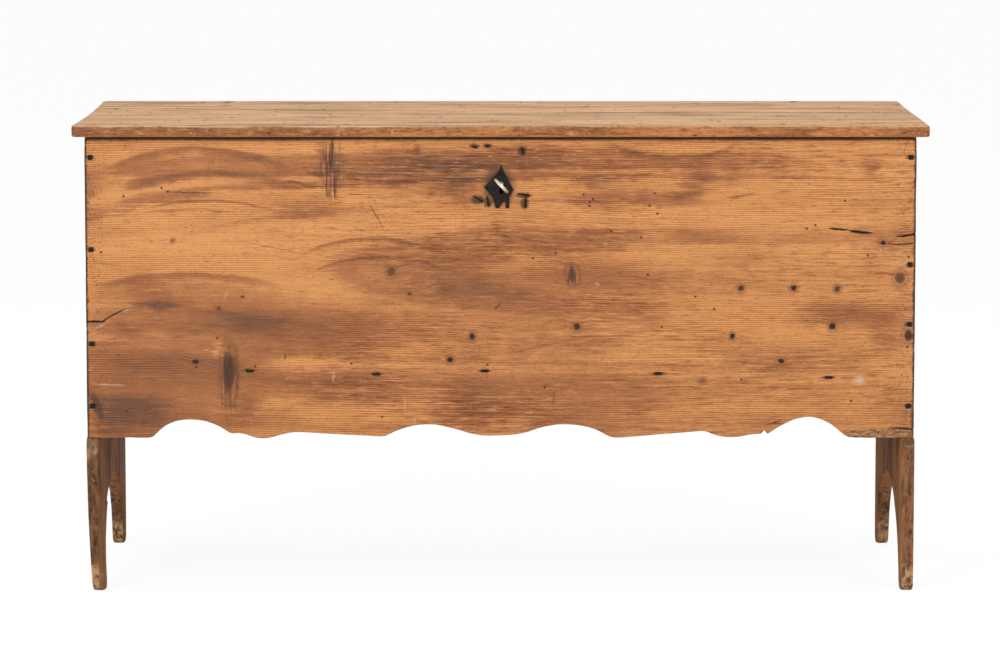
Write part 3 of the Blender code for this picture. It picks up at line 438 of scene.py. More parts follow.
def grain(paint, along, across, depth, shift):
    """Slow waves, quick waves, fibres and patches of a pine board. Shift sets each board apart."""
    slow = paint.noise(paint.vector(along * 1.1 + shift, depth * 3, across * 3.2), 2.0) - 0.5
    quick = paint.noise(paint.vector(along * 6 + shift, depth * 30, across * 26), 2.0) - 0.5
    fibre = paint.noise(paint.vector(along * 14 + shift, depth * 700, across * 700), 3.0, 0.65)
    patch = paint.noise(paint.vector(along * 2.6 + shift, depth * 8, across * 8), 4.0, 0.6)
    return slow, quick, fibre, patch


def growth(paint, along, ring, shift, spacing):
    """Dark late wood of each year, and long uneven streaks, both following the rings of the tree."""
    year = (ring / spacing + paint.bands(ring * 14 + shift, 1.0) * 4).fract()
    lines = year.ramp(0.3, 0.86) * year.ramp(1.0, 0.9)
    streak = paint.noise(paint.vector(along * 1.6 + shift, 0.0, ring * 240), 4.0, 0.68)
    return lines, streak


def knot_field(paint, across, up):
    """How far the knots push the grain aside, how dark they are, and the distance to the nearest."""
    bend, heart, near = 0.0, 0.0, 9.0
    for mark_x, mark_z, half_x, half_z, dark in KNOTS:
        away = paint.spot(across, up, mark_x, mark_z, half_x, half_z)
        if half_x > 3:
            bend = away.ramp(4.2, 0.5).scaled(half_x * 0.9 * MM, bend)
        heart = (away.ramp(1.05, 0.75) * dark).most(heart)
        near = away.least(near)
    return bend, heart, near


def iron_stains():
    """Wood blackened round the front's iron: place, half sizes and strength, from the iron's boxes."""
    stains = []
    for name in NODES:
        if name.startswith(("front_left", "front_right", "bottom_front", "lock_nail", "escutcheon")):
            low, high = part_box(name)
            middle, half = (low + high) / 2 / MM, (high - low) / 2 / MM
            wide, tall = STAIN_DASH if name.startswith("bottom_front") else STAIN_ROUND
            stains.append((middle.x, middle.z, half.x + wide, half.z + tall, 0.8))
    return stains


def front_grime(paint, x, z, waves, streak, dirt, comb):
    """Grime of the front: flame bands, clouds feathered along the grain, and arched stains."""
    slow, quick, patch = waves
    spread = abs(x - FLAME_X) * 0.11 + 0.012
    flame = ((z - FLAME_Z) * (z - FLAME_Z) + spread * spread).root() + slow * 0.07 + quick * 0.006
    bands = paint.bands(flame * 27 + (streak - 0.5) * 0.5 + (dirt - 0.5) * 0.4, 2.0, 0.55)
    flames = bands.ramp(0.42, 0.58) * x.ramp(0.05, 0.5, 0.5, 0.25) * z.ramp(0.4, 0.47, 0.4, 1.0)
    grime = flames + patch.ramp(0.36, 0.72) * 0.26 - z.ramp(0.4, 0.47, 0.04, 0.13)
    grime = (streak - 0.5) * 0.5 + (dirt - 0.5) * 0.9 + (comb - 0.5) * 0.6 + grime
    cloud_x = x + (streak - 0.5) * 0.12 + (dirt - 0.5) * 0.07
    cloud_z = z + (patch - 0.5) * 0.02 + (dirt - 0.5) * 0.026 + quick * 0.01
    for mark_x, mark_z, half_x, half_z, strength, tilt in CLOUDS:
        away = paint.spot(cloud_x, cloud_z, mark_x, mark_z, half_x, half_z, tilt)
        grime = away.ramp(1.3, 0.3).scaled(strength, grime)
    arch_x = x + (dirt - 0.5) * 0.05
    arch_z = z + (dirt - 0.5) * 0.014 + quick * 0.006 + (comb - 0.5) * 0.003
    for *sizes, strength in ARCHES:
        grime = paint.arch(arch_x, arch_z, *sizes).scaled(strength, grime)
    return grime


def front_pine():
    """The front board: amber, with arched stains, knots, scuffs, scratches and iron marks."""
    paint = new_paint("front_pine")
    x, y, z = paint.place()
    face = paint.facing()
    slow, quick, fibre, patch = grain(paint, x, z, y, 3.1)
    pits = paint.noise(paint.vector(x * 300, y * 300, z * 230), 3.0, 0.6)
    rough_x, rough_z = x + quick * 0.004, z + quick * 0.005 + (fibre - 0.5) * 0.0016
    torn_x, torn_z = x + (pits - 0.5) * 0.007 + quick * 0.004, z + (pits - 0.5) * 0.0045 + quick * 0.004
    bend, heart, near = knot_field(paint, rough_x + (pits - 0.5) * 0.005, rough_z + (pits - 0.5) * 0.004)

    ring = z + x * 0.004 + bend * 0.6 + slow * 0.03 + quick * 0.0035
    lines, streak = growth(paint, x, ring, 3.1, 3.1 * MM)
    comb = paint.noise(paint.vector(x * 11, y * 620, ring * 620), 3.0, 0.65)
    combed = paint.noise(paint.vector(x * 2.8 + 1.7, y * 9, z * 8), 2.0).ramp(0.36, 0.58, 0.4, 1.0)
    combed = combed * x.ramp(-0.42, -0.2, 0.4, 1.0)
    sweep = paint.noise(paint.vector(x * 34 + slow * 9, y * 60, ring * 270 + quick * 2.4), 4.0, 0.66)
    dirt = paint.noise(paint.vector(x * 13, y * 20, z * 24), 5.0, 0.7)
    strong = paint.noise(paint.vector(x * 2.2, y * 10, z * 15), 2.0).ramp(0.32, 0.66, 0.2, 1.0)
    grime = front_grime(paint, x, z, (slow, quick, patch), streak, dirt, comb)

    colour = paint.mix(grime.ramp(-0.1, 0.55), rgb(0.84, 0.375, 0.128), rgb(0.465, 0.178, 0.066))
    colour = paint.mix(grime.ramp(0.45, 1.15), colour, rgb(0.205, 0.088, 0.046))
    colour = paint.mix(lines * strong * 0.85, colour, rgb(0.55, 0.4, 0.31), "MULTIPLY")
    colour = paint.mix(sweep.ramp(0.48, 0.34) * combed * 0.8, colour, rgb(0.52, 0.37, 0.29), "MULTIPLY")
    colour = paint.mix(sweep.ramp(0.54, 0.66) * combed * 0.55, colour, rgb(0.88, 0.4, 0.14))
    colour = paint.mix(comb.ramp(0.56, 0.32) * combed * 0.75, colour, rgb(0.52, 0.42, 0.36), "MULTIPLY")
    colour = paint.mix(comb.ramp(0.54, 0.74) * combed * 0.5, colour, rgb(0.95, 0.49, 0.19))
    tooth = paint.noise(paint.vector(x * 210, y * 300, z * 380), 4.0, 0.75)
    colour = paint.mix(tooth.ramp(0.52, 0.7) * 0.5, colour, rgb(0.5, 0.4, 0.34), "MULTIPLY")
    cross = paint.noise(paint.vector(x * 260, y * 4, z * 7), 2.0)
    colour = paint.mix(cross.ramp(0.56, 0.8) * 0.1, colour, rgb(0.55, 0.45, 0.4), "MULTIPLY")
    dash = paint.noise(paint.vector(x * 70, y * 90, z * 420), 2.0, 0.6)
    colour = paint.mix(dash.ramp(0.64, 0.74) * 0.5, colour, rgb(0.19, 0.085, 0.045))
    colour = paint.mix(pits.ramp(0.68, 0.75) * 0.8, colour, rgb(0.09, 0.044, 0.028))
    picked = pits.ramp(0.56, 0.66) * abs(x).ramp(0.57, 0.625) * 0.6
    colour = paint.mix(picked, colour, rgb(0.12, 0.055, 0.032))

    colour = paint.mix(near.ramp(2.1, 0.95) * 0.45, colour, rgb(0.27, 0.098, 0.04))
    halo = near.ramp(1.3, 1.5) * near.ramp(1.85, 1.6) * 0.22
    colour = paint.mix(halo, colour, rgb(0.13, 0.05, 0.025))
    knot = paint.mix(near.ramp(0.95, 0.35), rgb(0.14, 0.046, 0.021), rgb(0.014, 0.008, 0.006))
    colour = paint.mix(heart, colour, knot)
    eaten = paint.noise(paint.vector(x * 130, y * 130, z * 280), 4.0, 0.7)
    specks = [(mark_x, mark_z, SPECK_HALF, SPECK_HALF, 0.9) for mark_x, mark_z in SPECKS]
    colour = paint.mix(paint.marked(rough_x, rough_z, specks, 1.5, 0.8), colour, rgb(0.05, 0.024, 0.017))
    scratch = paint.marked(torn_x, torn_z, SCRATCHES, 1.3, 0.5)
    colour = paint.mix(scratch, colour, rgb(0.075, 0.038, 0.026))
    shred = paint.noise(paint.vector(x * 300, y * 50, z * 24), 4.0, 0.7)
    torn = paint.marked(torn_x, torn_z, TORN, 1.2, 0.6)
    colour = paint.mix(torn * shred.ramp(0.48, 0.6) * 0.85, colour, rgb(0.075, 0.034, 0.022))
    colour = paint.mix(torn * shred.ramp(0.44, 0.32) * 0.45, colour, rgb(0.7, 0.37, 0.16))
    scuff = paint.marked(torn_x, torn_z, SCUFFS, 1.3, 0.2) * eaten.ramp(0.38, 0.6, 0.25, 1.0)
    colour = paint.mix(scuff, colour, rgb(0.76, 0.56, 0.39))
    iron = paint.marked(torn_x, torn_z, iron_stains(), 1.2, 0.55)
    colour = paint.mix(iron, colour, rgb(0.035, 0.022, 0.017))

    # Rounded edges: dark as painted shade on edges turned away from the light, with real pale bare wood near
    # the bottom and end grain on the ends
    edge = abs(face[1]).ramp(0.95, 0.5)
    bare = (pits + patch * 0.5).ramp(0.66, 0.82) * z.ramp(0.33, 0.28)
    worn = paint.mix(bare, rgb(0.14, 0.066, 0.036), rgb(0.62, 0.42, 0.25))
    end_grain = paint.mix(pits.ramp(0.4, 0.6), rgb(0.33, 0.155, 0.072), rgb(0.19, 0.086, 0.044))
    worn = paint.mix(abs(face[0]).ramp(0.7, 0.9), worn, end_grain)
    colour = paint.mix(edge * z.ramp(0.64, 0.67, 0.8, 0.3), colour, worn)
    # Painted shade: a near-black line along the front's ends, for the shadow in the joint with the end boards
    front_end_shade = (abs(x) + (pits - 0.5) * 0.006).ramp(HALF - 4.5 * MM, HALF - 2.0 * MM)
    colour = paint.mix(front_end_shade * face[1].ramp(-0.05, -0.45, 0.2, 0.9), colour, rgb(0.035, 0.02, 0.014))
    # Painted shadow: a near-black strip along the front's top edge, for the shade under the lid's overhang
    lid_shadow_strip = (z + quick * 0.003 + (pits - 0.5) * 0.003).ramp(CASE_TOP - 7.5 * MM, CASE_TOP - 3.5 * MM)
    lid_shadow_strip = lid_shadow_strip * face[1].ramp(-0.3, -0.8)
    colour = paint.mix(lid_shadow_strip * 0.85, colour, rgb(0.03, 0.018, 0.013))
    strip = paint.spot(torn_x, torn_z, *SPLIT_STRIP).ramp(1.2, 0.7)
    colour = paint.mix(strip * 0.55, colour, rgb(0.22, 0.105, 0.055))
    colour = paint.mix(strip * eaten.ramp(0.52, 0.62) * 0.7, colour, rgb(0.68, 0.45, 0.27))
    colour = paint.mix(strip * eaten.ramp(0.48, 0.38) * 0.9, colour, rgb(0.05, 0.026, 0.018))
    inside = face[1].ramp(0.3, 0.8)
    dry = lines * 0.3 + streak.ramp(0.35, 0.65) * 0.7
    colour = paint.mix(inside, colour, paint.mix(dry, rgb(0.6, 0.38, 0.21), rgb(0.3, 0.16, 0.08)))
    rough = lines * 0.1 + fibre * 0.16 + grime * 0.05 + 0.4
    height = lines * 0.5 + comb * 0.8 + streak * 0.6 - dash.ramp(0.64, 0.74) - pits.ramp(0.68, 0.75)
    return paint.finish(colour, rough, height, 0.45 * MM)


def lid_pine():
    """The lid: pale on top, partly dry wood and partly a painted sheen of the light from above; darker and
    rubbed along its edges.
    """
    paint = new_paint("lid_pine")
    x, y, z = paint.place()
    face = paint.facing()
    slow, quick, fibre, patch = grain(paint, x, y, z, 11.7)
    ring = y + z * 0.4 + slow * 0.05 + quick * 0.006
    lines, streak = growth(paint, x, ring, 11.7, 4.2 * MM)
    pits = paint.noise(paint.vector(x * 150, y * 210, z * 260), 3.0, 0.62)
    rough_x, rough_y = x + quick * 0.004, y + quick * 0.004 + (fibre - 0.5) * 0.003
    mottle = paint.noise(paint.vector(x * 7 + 2.5, y * 17, z * 20), 5.0, 0.66)
    figure = paint.noise(paint.vector(x * 1.4 + 4.2, 0.0, ring * 44), 4.0, 0.62)
    drift = paint.noise(paint.vector(x * 8 + 6.1, z * 40, ring * 62), 4.0, 0.7)
    nicks = paint.noise(paint.vector(x * 85, y * 34, z * 60), 3.0, 0.6)
    checks = paint.noise(paint.vector(x * 4 + 8.8, 0.0, ring * 150), 3.0, 0.6)

    grime = paint.bands(ring * 24, 3.0, 0.6).ramp(0.4, 0.7) * 0.3 + (streak - 0.5) * 1.6
    grime = grime + (figure - 0.5) * 2.5 + (mottle - 0.5) * 1.4 + (drift - 0.5) * 2.9 + 0.15
    # Pale, greyed tan of the top: partly dry wood, partly a painted sheen of the light from above
    colour = paint.mix(grime.ramp(-0.1, 0.6), rgb(0.95, 0.61, 0.36), rgb(0.67, 0.39, 0.212))
    colour = paint.mix(grime.ramp(0.5, 1.15), colour, rgb(0.31, 0.17, 0.09))
    colour = paint.mix(lines * 0.5, colour, rgb(0.64, 0.53, 0.44), "MULTIPLY")
    colour = paint.mix(fibre.ramp(0.6, 0.36) * 0.5, colour, rgb(0.62, 0.54, 0.47), "MULTIPLY")
    colour = paint.mix(pits.ramp(0.66, 0.76) * 0.6, colour, rgb(0.15, 0.085, 0.05))
    colour = paint.mix(nicks.ramp(0.62, 0.7) * 0.7, colour, rgb(0.15, 0.075, 0.04))
    colour = paint.mix(checks.ramp(0.64, 0.7) * 0.7, colour, rgb(0.15, 0.075, 0.04))
    marks = list(LID_MARKS)
    for side in ("left", "right"):
        low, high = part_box(f"{side}_hinge_lid_eye")
        marks.append(((low.x + high.x) / 2 / MM, low.y / MM, 14, 6, 0.85))
    colour = paint.mix(paint.marked(rough_x, rough_y, marks, 1.2, 0.5), colour, rgb(0.06, 0.035, 0.024))

    side = face[2].ramp(0.9, 0.45)
    tone = (patch * 0.5 + mottle * 0.5).ramp(0.4, 0.62)
    amber = paint.mix(tone, rgb(0.7, 0.28, 0.09), rgb(0.34, 0.134, 0.054))
    amber = paint.mix(x.ramp(-0.6, 0.6, 0.32, 0.0), amber, rgb(0.22, 0.1, 0.055))
    amber = paint.mix(streak.ramp(0.46, 0.66) * 0.6, amber, rgb(0.5, 0.4, 0.34), "MULTIPLY")
    amber = paint.mix(fibre.ramp(0.6, 0.36) * 0.6, amber, rgb(0.5, 0.42, 0.36), "MULTIPLY")
    flake = paint.noise(paint.vector(x * 60, y * 100, z * 210), 4.0, 0.7)
    amber = paint.mix(flake.ramp(0.5, 0.62) * 0.7, amber, rgb(0.48, 0.33, 0.25), "MULTIPLY")
    amber = paint.mix(flake.ramp(0.46, 0.34) * 0.6, amber, rgb(0.78, 0.4, 0.165))
    amber = paint.mix(pits.ramp(0.6, 0.7) * 0.85, amber, rgb(0.075, 0.036, 0.022))
    colour = paint.mix(side * 0.95, colour, amber)
    arris = face[2].ramp(0.985, 0.9) * face[2].ramp(0.5, 0.75)
    colour = paint.mix(arris * pits.ramp(0.62, 0.4) * 0.55, colour, rgb(0.8, 0.5, 0.27))

    under = face[2].ramp(-0.4, -0.8)
    dry = lines * 0.3 + streak.ramp(0.38, 0.64) * 0.5 + mottle * 0.3
    colour = paint.mix(under, colour, paint.mix(dry, rgb(0.6, 0.38, 0.2), rgb(0.3, 0.16, 0.08)))
    rough = lines * 0.08 + fibre * 0.15 + 0.58
    height = lines * 0.5 + fibre * 0.9 + streak * 0.6 - pits.ramp(0.62, 0.76) * 1.2
    return paint.finish(colour, rough, height, 0.5 * MM, 0.0, 0.12)


def end_pine():
    """The end boards: upright grain, amber faces, grey-brown edges of the legs, pale worn feet."""
    paint = new_paint("end_pine")
    x, y, z = paint.place()
    face = paint.facing()
    slow, quick, fibre, patch = grain(paint, z, y, x, 27.3)
    ring = y + x * 0.3 + slow * 0.08 + quick * 0.006
    lines, streak = growth(paint, z, ring, 27.3, 3.6 * MM)
    grime = paint.bands(ring * 30, 3.0, 0.6).ramp(0.36, 0.68) * 0.5
    grime = grime + patch.ramp(0.36, 0.7) * 0.4 + (streak - 0.5) * 1.5
    upper = paint.mix(grime.ramp(-0.1, 0.6), rgb(0.66, 0.3, 0.11), rgb(0.44, 0.184, 0.073))
    upper = paint.mix(grime.ramp(0.5, 1.1), upper, rgb(0.22, 0.102, 0.054))
    blotch = paint.noise(paint.vector(x * 120, y * 120, z * 52), 5.0, 0.72)
    soiled = grime * 0.6 + (blotch - 0.5) * 2.8 + 0.3
    leg = paint.mix(soiled.ramp(-0.2, 0.6), rgb(0.5, 0.255, 0.12), rgb(0.3, 0.137, 0.066))
    leg = paint.mix(soiled.ramp(0.45, 1.0), leg, rgb(0.1, 0.052, 0.031))
    leg = paint.mix(x.ramp(0.1, -0.1) * 0.3, leg, rgb(0.12, 0.066, 0.044))
    edges = abs(face[1]).ramp(0.35, 0.8) * (z + quick * 0.03).ramp(0.27, 0.22)
    soot = (z + quick * 0.05 + (patch - 0.5) * 0.16).ramp(0.2, -0.02)
    low = edges.most(soot * 0.8)
    colour = paint.mix(low, upper, leg)

    fleck = paint.noise(paint.vector(x * 240, y * 240, z * 46), 3.0, 0.62)
    chip = paint.noise(paint.vector(x * 170, y * 170 + 7, z * 110), 4.0, 0.68)
    colour = paint.mix(fleck.ramp(0.57, 0.7) * low * 0.75, colour, rgb(0.05, 0.028, 0.019))
    colour = paint.mix(chip.ramp(0.58, 0.68) * low * 0.6, colour, rgb(0.56, 0.33, 0.17))
    colour = paint.mix(lines * 0.5, colour, rgb(0.62, 0.5, 0.42), "MULTIPLY")
    colour = paint.mix(fibre.ramp(0.6, 0.36) * 0.45, colour, rgb(0.58, 0.5, 0.44), "MULTIPLY")
    foot = (z + (patch - 0.5) * 0.06 + (chip - 0.5) * 0.05).ramp(0.055, 0.03)
    worn = paint.mix(chip.ramp(0.42, 0.58), rgb(0.17, 0.085, 0.044), rgb(0.66, 0.385, 0.19))
    colour = paint.mix(foot * 0.9, colour, worn)
    left_front = x.ramp(-0.5, -0.6, 9.0, 1.0) * face[1].ramp(-0.3, -0.7, 9.0, 1.0)
    height, half_y, half_z = BARE_PATCH
    pale = paint.spot(y, z + quick * 0.02, FRONT / MM, height, half_y, half_z) * left_front
    colour = paint.mix(pale.ramp(1.2, 0.5) * chip.ramp(0.35, 0.6) * 0.75, colour, rgb(0.56, 0.36, 0.2))
    arris = abs(face[0]).ramp(0.9, 0.55) * abs(face[1]).ramp(0.9, 0.55) * low
    colour = paint.mix(arris * chip.ramp(0.45, 0.62) * 0.6, colour, rgb(0.6, 0.39, 0.22))
    hidden = abs(x).ramp(0.612, 0.6075) * z.ramp(0.27, 0.22)
    brown = paint.mix(grime.ramp(0.0, 0.9), rgb(0.42, 0.19, 0.075), rgb(0.2, 0.088, 0.04))
    # Dark smears on the legs' inner faces, heavier towards the top: painted shade under the case, broken up
    # by noise
    smear_and_shade = paint.noise(paint.vector(x * 60, y * 20, z * 6 + 3.4), 5.0, 0.7)
    brown = paint.mix((smear_and_shade + z * 0.5).ramp(0.55, 0.7) * 0.85, brown, rgb(0.06, 0.03, 0.018))
    colour = paint.mix(hidden * 0.8, colour, brown)
    # Painted shade: the end boards' front edges above the legs darkened, for the shadow in the joint beside
    # the front board
    joint_shade = face[1].ramp(-0.5, -0.9) * z.ramp(0.2, 0.24)
    colour = paint.mix(joint_shade * 0.7, colour, rgb(0.12, 0.06, 0.035))
    rough = lines * 0.08 + fibre * 0.16 + 0.62
    height = lines * 0.5 + fibre * 0.9 + streak * 0.5 + blotch * 1.5
    height = height - fleck.ramp(0.56, 0.68) * low * 1.5 - chip.ramp(0.6, 0.7) * low
    return paint.finish(colour, rough, height, 0.8 * MM, 0.0, 0.06)


def plain_pine(name, shift, tall):
    """A hidden board: dry unfinished pine with saw marks. Tall says which way is across the grain."""
    paint = new_paint(name)
    x, y, z = paint.place()
    across, depth = (z, y) if tall else (y, z)
    slow, quick, fibre, patch = grain(paint, x, across, depth, shift)
    ring = across + depth * 0.35 + slow * 0.08 + quick * 0.006
    lines, streak = growth(paint, x, ring, shift, 4.4 * MM)
    grime = paint.bands(ring * 28, 3.0, 0.6).ramp(0.38, 0.7) * 0.5
    grime = grime + patch.ramp(0.36, 0.72) * 0.4 + (streak - 0.5) * 1.4
    colour = paint.mix(grime.ramp(0.0, 0.6), rgb(0.52, 0.31, 0.165), rgb(0.4, 0.22, 0.115))
    colour = paint.mix(grime.ramp(0.5, 1.1), colour, rgb(0.24, 0.13, 0.075))
    colour = paint.mix(lines * 0.45, colour, rgb(0.62, 0.52, 0.44), "MULTIPLY")
    colour = paint.mix(fibre.ramp(0.6, 0.36) * 0.4, colour, rgb(0.62, 0.55, 0.48), "MULTIPLY")
    saw = (x * 150 + quick * 2 + across * 18).fract()
    sawn = saw.ramp(0.7, 1.0) * patch.ramp(0.4, 0.7) * 0.25
    colour = paint.mix(sawn, colour, rgb(0.6, 0.5, 0.42), "MULTIPLY")
    rough_x, rough_c = x + quick * 0.006, across + quick * 0.006
    knots = 0.0
    for mark_x, mark_c, size in PLAIN_KNOTS:
        middle = mark_c if tall else mark_c - LYING_MIDDLE
        away = paint.spot(rough_x, rough_c, mark_x, middle, size, size * 0.8)
        knots = away.ramp(1.4, 0.7).most(knots)
    colour = paint.mix(knots * 0.85, colour, rgb(0.1, 0.045, 0.028))
    rough = lines * 0.08 + fibre * 0.16 + 0.52
    height = lines * 0.6 + fibre * 0.8 + saw * 0.25
    return paint.finish(colour, rough, height, 0.5 * MM)


def black_iron():
    """Hand-forged iron: black scale with brown rust in the hollows and rubbed corners."""
    paint = new_paint("black_iron")
    x, y, z = paint.place()
    hammer = paint.noise(paint.vector(x * 170, y * 170, z * 170), 3.0, 0.6)
    rust = paint.noise(paint.vector(x * 420 + 5, y * 420, z * 420), 4.0, 0.65)
    colour = paint.mix(hammer.ramp(0.35, 0.7), rgb(0.009, 0.007, 0.006), rgb(0.026, 0.019, 0.015))
    colour = paint.mix(rust.ramp(0.54, 0.72) * 0.6, colour, rgb(0.1, 0.045, 0.024))
    rough = hammer * 0.3 + rust * 0.25 + 0.4
    return paint.finish(colour, rough, hammer + rust * 0.5, 0.9 * MM, 0.0, 0.16)


def bright_key():
    """A key rubbed bright by hands, with dull spots left in the hollows."""
    paint = new_paint("bright_key")
    x, y, z = paint.place()
    dull = paint.noise(paint.vector(x * 260, y * 260, z * 260), 4.0, 0.6)
    brushed = paint.noise(paint.vector(x * 900, y * 120, z * 900), 2.0)
    inner = y.ramp(FRONT - 12 * MM, FRONT + 2 * MM)
    colour = paint.mix(dull.ramp(0.48, 0.74), rgb(0.72, 0.66, 0.53), rgb(0.3, 0.235, 0.165))
    colour = paint.mix(inner * 0.8, colour, rgb(0.08, 0.06, 0.045))
    rough = dull * 0.25 + brushed * 0.12 + 0.2
    return paint.finish(colour, rough, dull * 0.6 + brushed * 0.4, 0.15 * MM, 0.9, 0.5)


def linked(name, data):
    """A new object in the scene that holds this data."""
    made = bpy.data.objects.new(name, data)
    bpy.context.scene.collection.objects.link(made)
    return made


def shaped(name, shape):
    """A new object in the scene with this shape."""
    mesh = bpy.data.meshes.new(name)
    shape.to_mesh(mesh)
    shape.free()
    return linked(name, mesh)


def node_shape(node):
    """A copy of a CAD node's shape with its points joined."""
    shape = bmesh.new()
    shape.from_mesh(NODES[node].data)
    bmesh.ops.remove_doubles(shape, verts=shape.verts, dist=JOIN_GAP)
    return shape


def bridged(shape, rings):
    """Adds the faces between each ring of points and the next."""
    for first, second in zip(rings, rings[1:]):
        for i in range(len(first)):
            j = (i + 1) % len(first)
            shape.faces.new((first[i], first[j], second[j], second[i]))


def cleaned(node):
    """A copy of a CAD node's shape with its flat faces whole again."""
    shape = node_shape(node)
    limit = math.radians(1)
    bmesh.ops.dissolve_limit(shape, angle_limit=limit, verts=shape.verts, edges=shape.edges)
    return shape


def add_piece(name, shape, material, node, smooth=0.0):
    """A finished piece in a node's place, on the node's body. Smooth is the largest angle shaded as round."""
    if smooth:
        for face in shape.faces:
            face.smooth = True
        for edge in shape.edges:
            edge.smooth = len(edge.link_faces) == 2 and edge.calc_face_angle(0) < math.radians(smooth)
    piece = shaped(name, shape)
    piece.data.materials.append(material)
    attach(piece, NODES[node]["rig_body"])
    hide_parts(node)
    return piece


def loops_on(node, axis, level):
    """Outlines on one flat face of a CAD node, longest first."""
    shape = node_shape(node)
    shape.verts.index_update()
    faces = [face for face in shape.faces if all(abs(v.co[axis] - level) < FLAT_GAP for v in face.verts)]
    level_faces = set(faces)
    following, places = {}, {}
    for face in faces:
        for loop in face.loops:
            if sum(other in level_faces for other in loop.edge.link_faces) == 1:
                following[loop.vert.index] = loop.link_loop_next.vert.index
                places[loop.vert.index] = loop.vert.co.copy()
    loops = []
    while following:
        at = next(iter(following))
        line = []
        while at in following:
            line.append(places[at])
            at = following.pop(at)
        loops.append(line)
    shape.free()
    return sorted(loops, key=lambda line: -sum((a - b).length for a, b in zip(line, line[1:] + line[:1])))


def dense(points, spacing):
    """The same outline with points no further apart than this."""
    result = []
    for start, end in zip(points, points[1:] + points[:1]):
        steps = max(1, math.ceil((end - start).length / spacing))
        result += [start.lerp(end, step / steps) for step in range(steps)]
    return result


def softened(points, rounds):
    """The outline with its corners worn round."""
    for _ in range(rounds):
        count = len(points)
        points = [
            points[i] * 0.5 + (points[i - 1] + points[(i + 1) % count]) * 0.25 for i in range(count)
        ]
    return points


def rough_line(place, seed, fine):
    """A small uneven offset for a hand-worked edge."""
    big = noise.noise(Vector((place[0] * 28, place[1] * 28, seed)))
    small = noise.noise(Vector((place[0] * 150, place[1] * 150, seed + 9)))
    return fine * (0.65 * big + 0.45 * small)


def worn_plate(outline, to_world, thick, wear, seed, fine, foot=0.0):
    """A board with a worn, uneven round along every edge. The outline is in the board's own plane."""
    count = len(outline)
    area = sum(a.x * b.y - b.x * a.y for a, b in zip(outline, outline[1:] + outline[:1]))
    side = 1 if area > 0 else -1
    inward, turn = [], []
    for i in range(count):
        before, after = outline[i] - outline[i - 1], outline[(i + 1) % count] - outline[i]
        way = (before.normalized() + after.normalized()).normalized()
        inward.append(Vector((-way.y, way.x)) * side)
        bent = (before.x * after.y - before.y * after.x) / (before.length * after.length)
        turn.append(max(0.0, side * bent))
    shape = bmesh.new()
    rings, caps = [], []
    quarter = (0.0, 0.3, 0.62, 1.0)
    for face in (0, 1):
        for share in quarter if face == 0 else reversed(quarter):
            ring, cap = [], []
            for i, point in enumerate(outline):
                uneven = noise.noise(Vector((point.x * 31, point.y * 31, seed + 3 * face)))
                chips = max(0.0, noise.noise(Vector((point.x * 9, point.y * 9, seed + 7 + face))) - 0.25)
                radius = wear * (0.75 + 0.55 * uneven + 1.6 * chips + 1.2 * min(1.0, turn[i] * 2))
                radius *= 1 + 1.3 * max(0.0, 1 - point.y / foot) if foot else 1
                radius = max(LEAST_ROUND, min(radius, thick * 0.42))
                angle = share * math.pi / 2
                leg = 2.2 if foot and point.y < LEG_ROUGH else 1.0
                inset = radius * (1 - math.sin(angle)) + max(0.0, rough_line(point, seed, fine * leg))
                deep = radius * (1 - math.cos(angle))
                moved = point + inward[i] * inset
                cap.append(moved)
                ring.append(shape.verts.new(to_world(moved.x, moved.y, deep if face == 0 else thick - deep)))
            rings.append(ring)
            caps.append(cap)
    bridged(shape, rings)
    for ring, edge in ((rings[0], caps[0]), (rings[-1], caps[-1])):
        for corners in geometry.tessellate_polygon([[point.to_3d() for point in edge]]):
            shape.faces.new([ring[corner] for corner in corners])
    bmesh.ops.recalc_face_normals(shape, faces=shape.faces)
    return shape


def flat(points, first, second):
    """Points of an outline in two of their three axes."""
    return [Vector((point[first], point[second])) for point in points]


def through_front(point, depth):
    """A point of the front's outline, this far back."""
    return (point.x, depth, point.y)


def through_lid(point, depth):
    """A point of the lid's outline, this high."""
    return (point.x, point.y, depth)


def prism(shape, points, near, far, share=1.0, to_world=through_front):
    """Adds a closed prism on an outline, drawn in towards its far end."""
    middle = sum(points, Vector((0, 0))) / len(points)
    rings = []
    for depth, scale in ((near, 1.0), (far, share)):
        moved = [middle.lerp(point, scale) for point in points]
        rings.append([shape.verts.new(to_world(point, depth)) for point in moved])
    bridged(shape, rings)
    shape.faces.new(list(reversed(rings[0])))
    shape.faces.new(rings[1])


def cut(piece, shape):
    """Cuts the shape out of the piece for good."""
    bmesh.ops.recalc_face_normals(shape, faces=shape.faces)
    cutter = shaped("cutter", shape)
    change = piece.modifiers.new("cut", "BOOLEAN")
    change.operation = "DIFFERENCE"
    change.solver = "EXACT"
    change.object = cutter
    bpy.context.view_layer.update()
    graph = bpy.context.evaluated_depsgraph_get()
    made = bpy.data.meshes.new_from_object(piece.evaluated_get(graph))
    piece.modifiers.clear()
    piece.data = made
    bpy.data.objects.remove(cutter)


def crack_outline(line):
    """The outline of a crack round its points, each with a width in millimetres."""
    upper, lower = [], []
    for i, (x, z, wide) in enumerate(line):
        before, after = line[max(i - 1, 0)], line[min(i + 1, len(line) - 1)]
        way = Vector((after[0] - before[0], after[1] - before[1])).normalized()
        off = Vector((-way.y, way.x)) * wide / 2
        upper.append((Vector((x, z)) + off) * MM)
        lower.append((Vector((x, z)) - off) * MM)
    return upper + lower[::-1]


